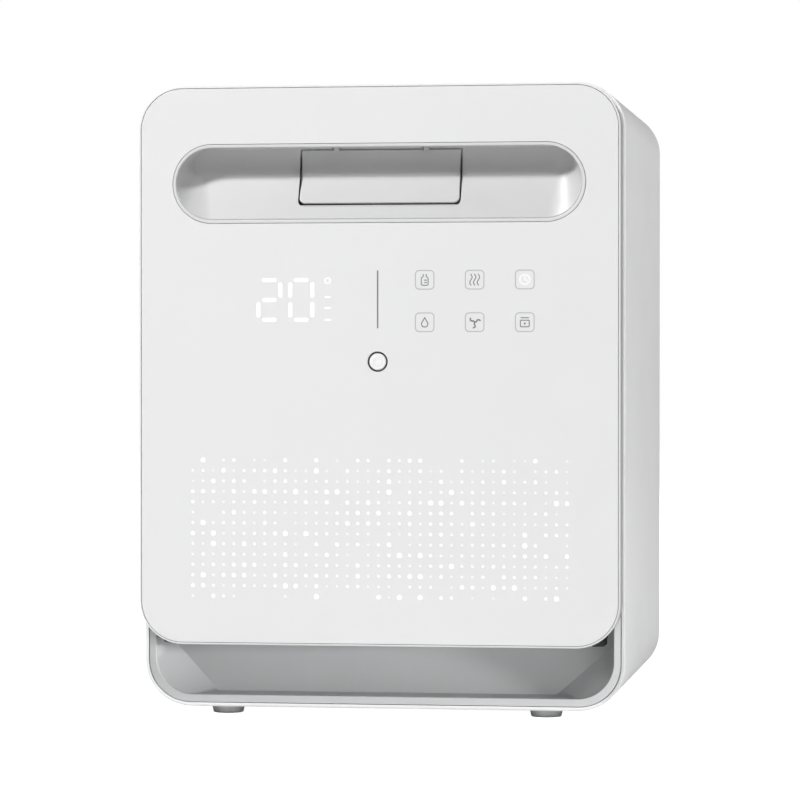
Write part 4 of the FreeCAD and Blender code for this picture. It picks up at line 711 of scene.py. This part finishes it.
arms = [side_slab(arm_profile, *on_side(side, ARM_INNER, ARM_OUTER), 0.2) for side in (1, -1)]
BARREL_BORE, BARREL_RADIUS = 1.26, 2.5
TAIL_HALF, TAIL_LOW, TAIL_HIGH = 4.5, 1.6, 5.2
barrel_section = filleted([(BARREL_BORE, -ARM_OUTER, 0.2), (BARREL_RADIUS, -ARM_OUTER, 0.3),
                           (BARREL_RADIUS, ARM_OUTER, 0.3), (BARREL_BORE, ARM_OUTER, 0.2)])
barrel = lathe(barrel_section, (0, axis_y, axis_z), "x", 32, closed=True)
tail = block(-TAIL_HALF, TAIL_HALF, axis_y - 1, axis_y + 1, axis_z + TAIL_LOW, axis_z + TAIL_HIGH, 0.2)
piece("flap_leaf", merge(leaf, *arms, barrel, tail), "cup_white", "flap", ["release_flap"])

# Power button: a dark ring, a slightly domed cap on its stem, and a ring mark on the cap; cap and mark glow
# faintly as painted light
button_centre = (0, 0, BUTTON_LEVEL)
RING_INNER, RING_OUTER, CAP_RADIUS, STEM_RADIUS = 5.15, 5.88, 5.02, 2.9
MARK_INNER, MARK_OUTER = 1.8, 3.2
ring_back, stem_back = node_box("button_ring")[1][1], node_box("power_button")[1][1]
bezel_section = filleted([(RING_INNER, FRONT, 0.08), (RING_OUTER, FRONT, 0.08), (RING_OUTER, ring_back),
                          (RING_INNER, ring_back)])
piece("button_bezel", lathe(bezel_section, button_centre, "y", 72, closed=True), "dark_ring", "door",
      ["button_ring"])
cap_section = filleted([(0, FRONT + 0.28), (4.4, FRONT + 0.1, 1.0), (CAP_RADIUS, FRONT + 0.45, 0.3),
                        (CAP_RADIUS, FRONT + 3.2, 0.2), (STEM_RADIUS, FRONT + 3.6, 0.2),
                        (STEM_RADIUS, stem_back, 0.3), (0, stem_back)], False)
piece("button_cap", lathe(cap_section, button_centre, "y", 72), "white_plastic", "button",
      ["power_button"], material=BUTTON_WHITE)
mark_section = filleted([(MARK_INNER, FRONT + 0.12, 0.05), (MARK_OUTER, FRONT + 0.1, 0.05),
                         (MARK_OUTER, FRONT + 0.4), (MARK_INNER, FRONT + 0.4)])
piece("button_mark", lathe(mark_section, button_centre, "y", 56, closed=True), "white_plastic", "button",
      material=PRINT_SOFT)

# ---------------------------------------------------------------- printed and lit marks on the door

PRINT_BACK, PRINT_EDGE = FRONT + 0.2, 0.02
STROKE_END = 6  # parts of a stroke's round end


def mark(loop):
    """A thin plate of any outline, set into the panel and a hair in front of it."""
    return slab(loop, FRONT, PRINT_BACK, PRINT_EDGE, 1)


def band(outer, width):
    """A closed line of even width inside an outline."""
    section = [(0, FRONT), (width, FRONT), (width, PRINT_BACK), (0, PRINT_BACK)]
    loops = [(offset(outer, inset) if inset else outer, y) for inset, y in section]
    return skin([[(x, y, z) for x, z in loop] for loop, y in loops], closed=True)


def stroke(path, width):
    """An open line of even width with round ends, bent smoothly where its corners have radii."""
    path = [Vector(p) for p in filleted(path, False, 5)]
    left, right = [], []
    for k, here in enumerate(path):
        ahead = path[min(k + 1, len(path) - 1)] - path[max(k - 1, 0)]
        normal = Vector((-ahead.y, ahead.x)).normalized() * width / 2
        left.append(here + normal)
        right.append(here - normal)

    def end(centre, start):
        """The points between the two corners of a round end."""
        turns = [start + math.pi * j / STROKE_END for j in range(1, STROKE_END)]
        return [centre + Vector((math.cos(turn), math.sin(turn))) * width / 2 for turn in turns]

    last = path[-1] - path[-2]
    first = path[1] - path[0]
    loop = (right + end(path[-1], math.atan2(last.y, last.x) - math.pi / 2)
            + list(reversed(left)) + end(path[0], math.atan2(first.y, first.x) + math.pi / 2))
    return mark([tuple(p) for p in loop])


DIVIDER_LEVEL, DIVIDER_LENGTH, DIVIDER_WIDTH = 247.0, 34.1, 0.8
divider = mark(capsule(0, DIVIDER_LEVEL, DIVIDER_LENGTH, DIVIDER_WIDTH, True))
piece("panel_divider", divider, "dark_ring", "door", material=DIVIDER_GREY)

# Seven-segment figures "20"
DIGIT_STROKE, ACROSS, UPRIGHT = 2.25, 8.4, 8.8
ROWS = (258.5, 246.8, 235.1)
upper, lower = (ROWS[0] + ROWS[1]) / 2, (ROWS[1] + ROWS[2]) / 2

# Middle, left and right of a figure, then its lying and its standing segments
two = (-64.6, -71.2, -58.0, ROWS, ((1, upper), (0, lower)))
zero = (-45.5, -52.05, -38.9, (ROWS[0], ROWS[2]), ((0, upper), (1, upper), (0, lower), (1, lower)))
segments = []
for middle, left, right, lying, standing in (two, zero):
    segments += [mark(capsule(middle, z, ACROSS, DIGIT_STROKE)) for z in lying]
    segments += [mark(capsule((left, right)[side], z, UPRIGHT, DIGIT_STROKE, True))
                 for side, z in standing]
piece("display_digits", merge(*segments), "white_panel", "door", material=PRINT_WHITE)

# A ring and three short bars beside the figures
INDICATOR_X, RING_LEVEL, BAR_LENGTH, BAR_WIDTH = -29.8, 258.0, 3.4, 1.0
SMALL_RING, SMALL_LINE, BAR_LEVELS = 1.9, 0.6, (248.4, 242.0, 235.0)
small_ring = band(circle(INDICATOR_X, RING_LEVEL, SMALL_RING, 28), SMALL_LINE)
bars = [mark(capsule(INDICATOR_X, level, BAR_LENGTH, BAR_WIDTH)) for level in BAR_LEVELS]
piece("indicator_marks", merge(small_ring, *bars), "white_panel", "door", material=PRINT_WHITE)

ICON_HALF, ICON_CORNER, ICON_LINE = 5.75, 2.5, 0.55
ICON_COLUMNS, ICON_ROWS = (27.9, 57.4, 86.9), (258.4, 233.5)
tiles = [rounded(x - ICON_HALF, x + ICON_HALF, z - ICON_HALF, z + ICON_HALF, ICON_CORNER, 6)
         for x in ICON_COLUMNS for z in ICON_ROWS]
frames = [band(tile, ICON_LINE) for tile in tiles]
piece("touch_tiles", merge(*frames), "white_panel", "door", material=PRINT_PALE)

# Pictograms, drawn round a tile's middle
LINE = 0.6


def at(x, z, path):
    """A path drawn round the origin, moved to a place."""
    return [(x + p[0], z + p[1], *p[2:]) for p in path]


def bottle_icon(x, z):
    outline = [(-0.9, 3.2), (-0.9, 2.0), (-2.0, 1.0, 0.7), (-2.0, -3.2, 0.8), (2.0, -3.2, 0.8),
               (2.0, 1.0, 0.7), (0.9, 2.0), (0.9, 3.2)]
    return [stroke(at(x, z, path), LINE)
            for path in (outline, [(-0.1, -1.6), (1.1, -1.6)], [(-0.1, -0.2), (1.1, -0.2)])]


def waves_icon(x, z):
    rise = [(0, -3.2), (-0.9, -1.6, 1.4), (0.9, 1.4, 1.4), (0, 3.2)]
    return [stroke(at(x + shift, z, rise), LINE) for shift in (-2.2, 0, 2.2)]


def clock_icon(x, z):
    hands = [(0, 1.9), (0, 0), (1.4, -0.7)]
    return [band(circle(x, z, 3.2, 36), LINE), stroke(at(x, z, hands), LINE)]


def drop_icon(x, z):
    drop = [(0, 3.3), (2.3, -0.6, 1.2), (1.6, -3.0, 1.3), (-1.6, -3.0, 1.3), (-2.3, -0.6, 1.2)]
    return [band(filleted(at(x, z, list(reversed(drop)))), LINE)]


def fan_icon(x, z):
    parts = [mark(circle(x, z, 0.7, 16))]
    for turn in range(0, 360, 120):
        c, s = math.cos(math.radians(turn)), math.sin(math.radians(turn))
        blade = [(0.9, 0.2), (2.0, 1.8), (3.2, 1.0)]
        parts.append(stroke([(x + a * c - b * s, z + a * s + b * c, 1.0) for a, b in blade], 0.9))
    return parts


def box_icon(x, z):
    return [band(rounded(x - 2.9, x + 2.9, z - 3.0, z + 1.4, 0.7, 3), LINE),
            stroke(at(x, z, [(-2.2, 2.6), (2.2, 2.6)]), LINE), mark(circle(x, z - 0.8, 0.6, 14))]


icon_places = [(bottle_icon, 0, 0), (waves_icon, 1, 0), (drop_icon, 0, 1), (fan_icon, 1, 1),
               (box_icon, 2, 1)]
icons = [part for draw, column, row in icon_places for part in draw(ICON_COLUMNS[column], ICON_ROWS[row])]
piece("touch_icons", merge(*icons), "white_panel", "door", material=PRINT_GREY)
lit_icon = clock_icon(ICON_COLUMNS[2], ICON_ROWS[0])
piece("touch_icon_lit", merge(*lit_icon), "white_panel", "door", material=PRINT_WHITE)

# Pattern of raised dots of mixed sizes on the lower half of the door; they glow in print_white, which on
# them is painted light
random.seed(11)
DOT_COLUMNS, DOT_ROWS = 37, 14
DOT_LEFT, DOT_TOP, DOT_PITCH, DOT_DROP = -110.7, 152.25, 6.178, 6.184
DOT_SIZES = (0.5, 0.52, 0.55, 0.6, 0.65, 0.68, 0.72, 0.78, 0.85, 0.92, 1.05, 1.2, 1.4)
EDGE_SHARE, INNER_SHARE = 0.55, 0.93  # how much of the top and bottom rows, and of the others, is filled
dots = []
for row in range(DOT_ROWS):
    share = EDGE_SHARE if row in (0, DOT_ROWS - 1) else INNER_SHARE
    for column in range(DOT_COLUMNS):
        size = random.choice(DOT_SIZES)
        if random.random() > share:
            continue
        dots.append(mark(circle(DOT_LEFT + column * DOT_PITCH, DOT_TOP - row * DOT_DROP, size, 20)))
piece("dot_pattern", merge(*dots), "white_panel", "door", material=PRINT_WHITE)

# ---------------------------------------------------------------- grey insert below the door

trim_low, trim_high = node_box("lower_trim")
MOUTH = trim_low[1]
SIDE, FLOOR, ROOF, TURN, TRIM_TOP = 137.2, 11.6, 55.2, 22.0, trim_high[2]
STRIP_DEPTH, STRIP_GAP, TUB_WALL = 2.4, 0.25, 1.8
STRIP_TURN = SHELL_CORNER - 2.55
ARC_STEPS = 14


def u_line(side, floor_z, turn, top):
    """Open U from top right down and round to top left."""
    right = [(side, top)]
    for k in range(ARC_STEPS + 1):
        angle = math.radians(-90 * k / ARC_STEPS)
        across = side - turn + turn * math.cos(angle)
        right.append((across, floor_z + turn + turn * math.sin(angle)))
    return right + [(-x, z) for x, z in reversed(right)]


# The front strip fills the space between the recess's mouth and the shell
inner_line = u_line(SIDE, FLOOR, TURN, TRIM_TOP)
outer_line = u_line(trim_high[0] - STRIP_GAP, trim_low[2] + STRIP_GAP, STRIP_TURN, TRIM_TOP)
strip_loops = []
for near, far in zip(inner_line, outer_line):
    near, far = Vector(near), Vector(far)
    width = (far - near).length
    normal = (far - near) / width
    section = filleted([(0, MOUTH + STRIP_DEPTH), (0, MOUTH, 0.6), (width, MOUTH, 0.3),
                        (width, MOUTH + STRIP_DEPTH)])
    strip_loops.append([(near.x + normal.x * a, y, near.y + normal.y * a) for a, y in section])
strip = skin(strip_loops)

# The recess: a back that leans away upwards, and slanted ends from a knee down to its foot
KNEE_LEVEL, FOOT_ACROSS, FOOT_RISE, END_SPREAD = 43.0, 102.0, 1.2, 0.4
BACK_DEPTH, BACK_LEAN = 14.0, 0.91


def tub_mouth(grow, y):
    return [(x, y, z) for x, z in u_line(SIDE + grow, FLOOR - grow, TURN + grow, ROOF + grow)]


def tub_back(grow, shrink=0.0):
    knee, foot_x = KNEE_LEVEL - END_SPREAD * grow, FOOT_ACROSS + END_SPREAD * grow
    foot_z = FLOOR - grow + FOOT_RISE
    side, roof = SIDE + grow, ROOF + grow
    shares = [k / ARC_STEPS for k in range(ARC_STEPS + 1)]
    right = [(side, roof)] + [(side + (foot_x - side) * t, knee + (foot_z - knee) * t) for t in shares]
    loop = right + [(-x, z) for x, z in reversed(right)]
    if shrink:
        loop = list(reversed(offset(list(reversed(loop)), shrink)))
    return [(x, MOUTH + BACK_DEPTH + grow + BACK_LEAN * (z - foot_z), z) for x, z in loop]


# A narrow groove parts the recess from the strip
GROOVE_WIDTH, GROOVE_BACK, STEP_OUT, STEP_LAP = 0.6, 0.5, 0.9, 0.2
TUB_REACH, TUB_CAP_INSET = 0.3, 3.0
strip_back = MOUTH + STRIP_DEPTH
tub_front = strip_back + GROOVE_WIDTH
groove = [tub_mouth(0, tub_front), tub_mouth(GROOVE_BACK, tub_front), tub_mouth(GROOVE_BACK, strip_back),
          tub_mouth(STEP_OUT, strip_back - STEP_LAP), tub_mouth(TUB_WALL, strip_back - STEP_LAP)]
tub_in, tub_floor, tub_cap = tub_mouth(0, tub_front), tub_back(0), tub_back(0, TUB_CAP_INSET)
tub_corner = list(reversed(bent(tub_in, tub_floor, tub_cap, TUB_REACH, 2)))
tub = skin([tub_cap] + tub_corner + groove + [tub_back(TUB_WALL)])
insert = piece("lower_insert", merge(strip, tub), "grey_trim", "cabinet", ["lower_trim"])

# ---------------------------------------------------------------- feet

# Each foot tapers downwards round a well for its screw
feet_low, feet_high = node_box("feet")
FOOT_R, FOOT_UNDER, FOOT_OVER = 10.0, 8.9, 9.9
SCREW_HOLE, SCREW_WELL, WELL_TOP = 1.9, 3.7, 2.6
foot_section = filleted([(SCREW_WELL, 0, 0.4), (FOOT_UNDER, 0, 0.8), (FOOT_OVER, feet_high[2], 0.1),
                         (SCREW_HOLE, feet_high[2]), (SCREW_HOLE, WELL_TOP), (SCREW_WELL, WELL_TOP)])
foot_places = [(x, y) for x in (feet_high[0] - FOOT_R, feet_low[0] + FOOT_R)
               for y in (feet_low[1] + FOOT_R, feet_high[1] - FOOT_R)]
feet_shapes = [lathe(foot_section, (x, y, 0), "z", 56, closed=True) for x, y in foot_places]
feet = piece("rubber_feet", merge(*feet_shapes), "foot_rubber", "cabinet", ["feet"])

# ---------------------------------------------------------------- carried CAD nodes

# Widths of the bevels, in millimetres
SOFT_EDGES = {
    "front_bezel": 0.5, "door_inner_panel": 0.5, "inner_liner": 0.25, "drip_tray": 0.4,
    "rear_panel": 0.3, "filter_cover": 0.35, "power_inlet": 0.3, "air_duct": 0.3,
    "lamp_holders": 0.4, "lamp_ballast": 0.5, "hinge_brackets": 0.3, "hinge_leaves": 0.25,
    "latch_hook": 0.3, "strike_plate": 0.15, "rack_rails": 0.4, "door_sensor": 0.3,
    "heater_block": 0.15, "fan_frame": 0.3, "fan_motor": 0.4, "base_plate": 0.2,
    "main_board": 0.15, "board_components": 0.2, "control_board": 0.15, "display_module": 0.2,
    "door_magnet": 0.3, "lamp_reflectors": 0.2, "rear_stiffener": 0.3}
REPLACED = {"outer_shell", "door_frame", "front_panel", "handle_cup", "release_flap", "power_button",
            "button_ring", "lower_trim", "feet"}
for entry in frame["record"]["subparts"]:
    label = entry["node"]
    if label in REPLACED:
        continue
    carried = frame["nodes"][label]
    if not carried.material_slots:
        carried.data.materials.append(None)
    for holder in carried.material_slots:
        holder.link = "OBJECT"
        holder.material = MATERIALS[entry["material_slot"]]
    if label in SOFT_EDGES:
        rounding = carried.modifiers.new("soft_edges", "BEVEL")
        rounding.width = SOFT_EDGES[label] * MM
        rounding.segments = 2
        rounding.limit_method = "ANGLE"
        rounding.angle_limit = math.radians(45)
        rounding.use_clamp_overlap = True
        rounding.harden_normals = False

# ---------------------------------------------------------------- studio

def staged(name, points, faces, material):
    """A surface that belongs to the studio."""
    mesh = bpy.data.meshes.new(name)
    mesh.from_pydata(points, [], faces)
    mesh.materials.append(material)
    mesh.shade_smooth()
    made = bpy.data.objects.new(name, mesh)
    bpy.context.scene.collection.objects.link(made)
    return made


# The floor and the background are plain white to the camera, and light the object only a little
floor = Nodes("studio_floor")
paper = floor.noise(3.0, 4.0)
floor.link(floor.ramp(paper, [(0.3, (0.8, 0.8, 0.8)), (0.7, (0.84, 0.84, 0.84))]), "Base Color")
floor.link(floor.spread(paper, 0.85, 0.95), "Roughness")
floor.link(floor.add("ShaderNodeLightPath").outputs["Is Camera Ray"], "Emission Strength")
floor.set(Emission_Color=(1, 1, 1, 1))
REACH = 6.0
staged("studio_floor", [(-REACH, -REACH, 0), (REACH, -REACH, 0), (REACH, REACH, 0), (-REACH, REACH, 0)],
       [(0, 1, 2, 3)], floor.material)


def area_light(name, place, aim, width, height, power):
    """A soft box at a place in metres, turned towards aim, unseen by the camera."""
    data = bpy.data.lights.new(name, "AREA")
    data.shape, data.size, data.size_y, data.energy = "RECTANGLE", width, height, power
    lamp = bpy.data.objects.new(name, data)
    lamp.location = place
    lamp.visible_camera = False
    lamp.rotation_euler = (Vector(aim) - Vector(place)).to_track_quat("-Z", "Y").to_euler()
    bpy.context.scene.collection.objects.link(lamp)
    return lamp


# Powers in watts, and the background's share of light
KEY, TOP, SIDE_FILL, BACK_FILL, LOW_FRONT, CARD, AMBIENT = 188, 26, 36, 40, 2.7, 57.0, 0.02
CENTRE = (0.0, -0.1, 0.19)
key = area_light("key", (-2.1, -2.45, 3.65), CENTRE, 0.7, 0.7, KEY)
area_light("top", (1.3, -2.6, 3.3), CENTRE, 1.2, 0.8, TOP)
area_light("side", (2.6, 0.3, 1.3), CENTRE, 1.2, 1.2, SIDE_FILL)
low = area_light("low_front", (0.55, -1.1, 0.03), (-0.08, -0.08, 0.03), 0.5, 0.06, LOW_FRONT)
card = area_light("recess_card", (3.0, -1.1, 0.16), (-0.05, -0.1, 0.03), 0.5, 0.12, CARD)
area_light("back", (-1.5, 3.4, 0.6), (0.0, 0.1, 0.2), 1.6, 0.8, BACK_FILL)


def linked(light, name, *items):
    """Limits a light to some pieces."""
    group = bpy.data.collections.new(name)
    for item in items:
        group.objects.link(item)
    light.light_linking.receiver_collection = group
    return group


# The recess is lit by its own card and not by the key, which would leave a hard patch in it
linked(card, "lit_by_card", insert)
linked(low, "near_floor", insert, shell, feet)
past_key = linked(key, "past_key", insert)
past_key.collection_objects[0].light_linking.link_state = "EXCLUDE"

world = bpy.data.worlds.new("studio")
world.use_nodes = True
sky = world.node_tree
soft = sky.nodes["Background"]
soft.inputs["Color"].default_value = (1, 1, 1, 1)
soft.inputs["Strength"].default_value = AMBIENT
bright = sky.nodes.new("ShaderNodeBackground")
bright.inputs["Color"].default_value = (1, 1, 1, 1)
choose = sky.nodes.new("ShaderNodeMixShader")
sky.links.new(sky.nodes.new("ShaderNodeLightPath").outputs["Is Camera Ray"], choose.inputs[0])
sky.links.new(soft.outputs[0], choose.inputs[1])
sky.links.new(bright.outputs[0], choose.inputs[2])
sky.links.new(choose.outputs[0], sky.nodes["World Output"].inputs["Surface"])
bpy.context.scene.world = world

# The camera stands in front, a little to the right, and looks slightly down
LENS, SENSOR, LOOK_DOWN, LOOK_LEFT = 163.0, 36.0, 0.576, 8.345
camera_data = bpy.data.cameras.new("camera")
camera_data.lens, camera_data.sensor_width = LENS, SENSOR
camera_data.clip_start, camera_data.clip_end = 0.05, 50.0
camera = bpy.data.objects.new("camera", camera_data)
camera.location = (0.3218, -2.2501, 0.2093)
camera.rotation_euler = (math.radians(90 - LOOK_DOWN), 0.0, math.radians(LOOK_LEFT))
bpy.context.scene.collection.objects.link(camera)
bpy.context.scene.camera = camera
bpy.context.scene.view_settings.view_transform = "Standard"
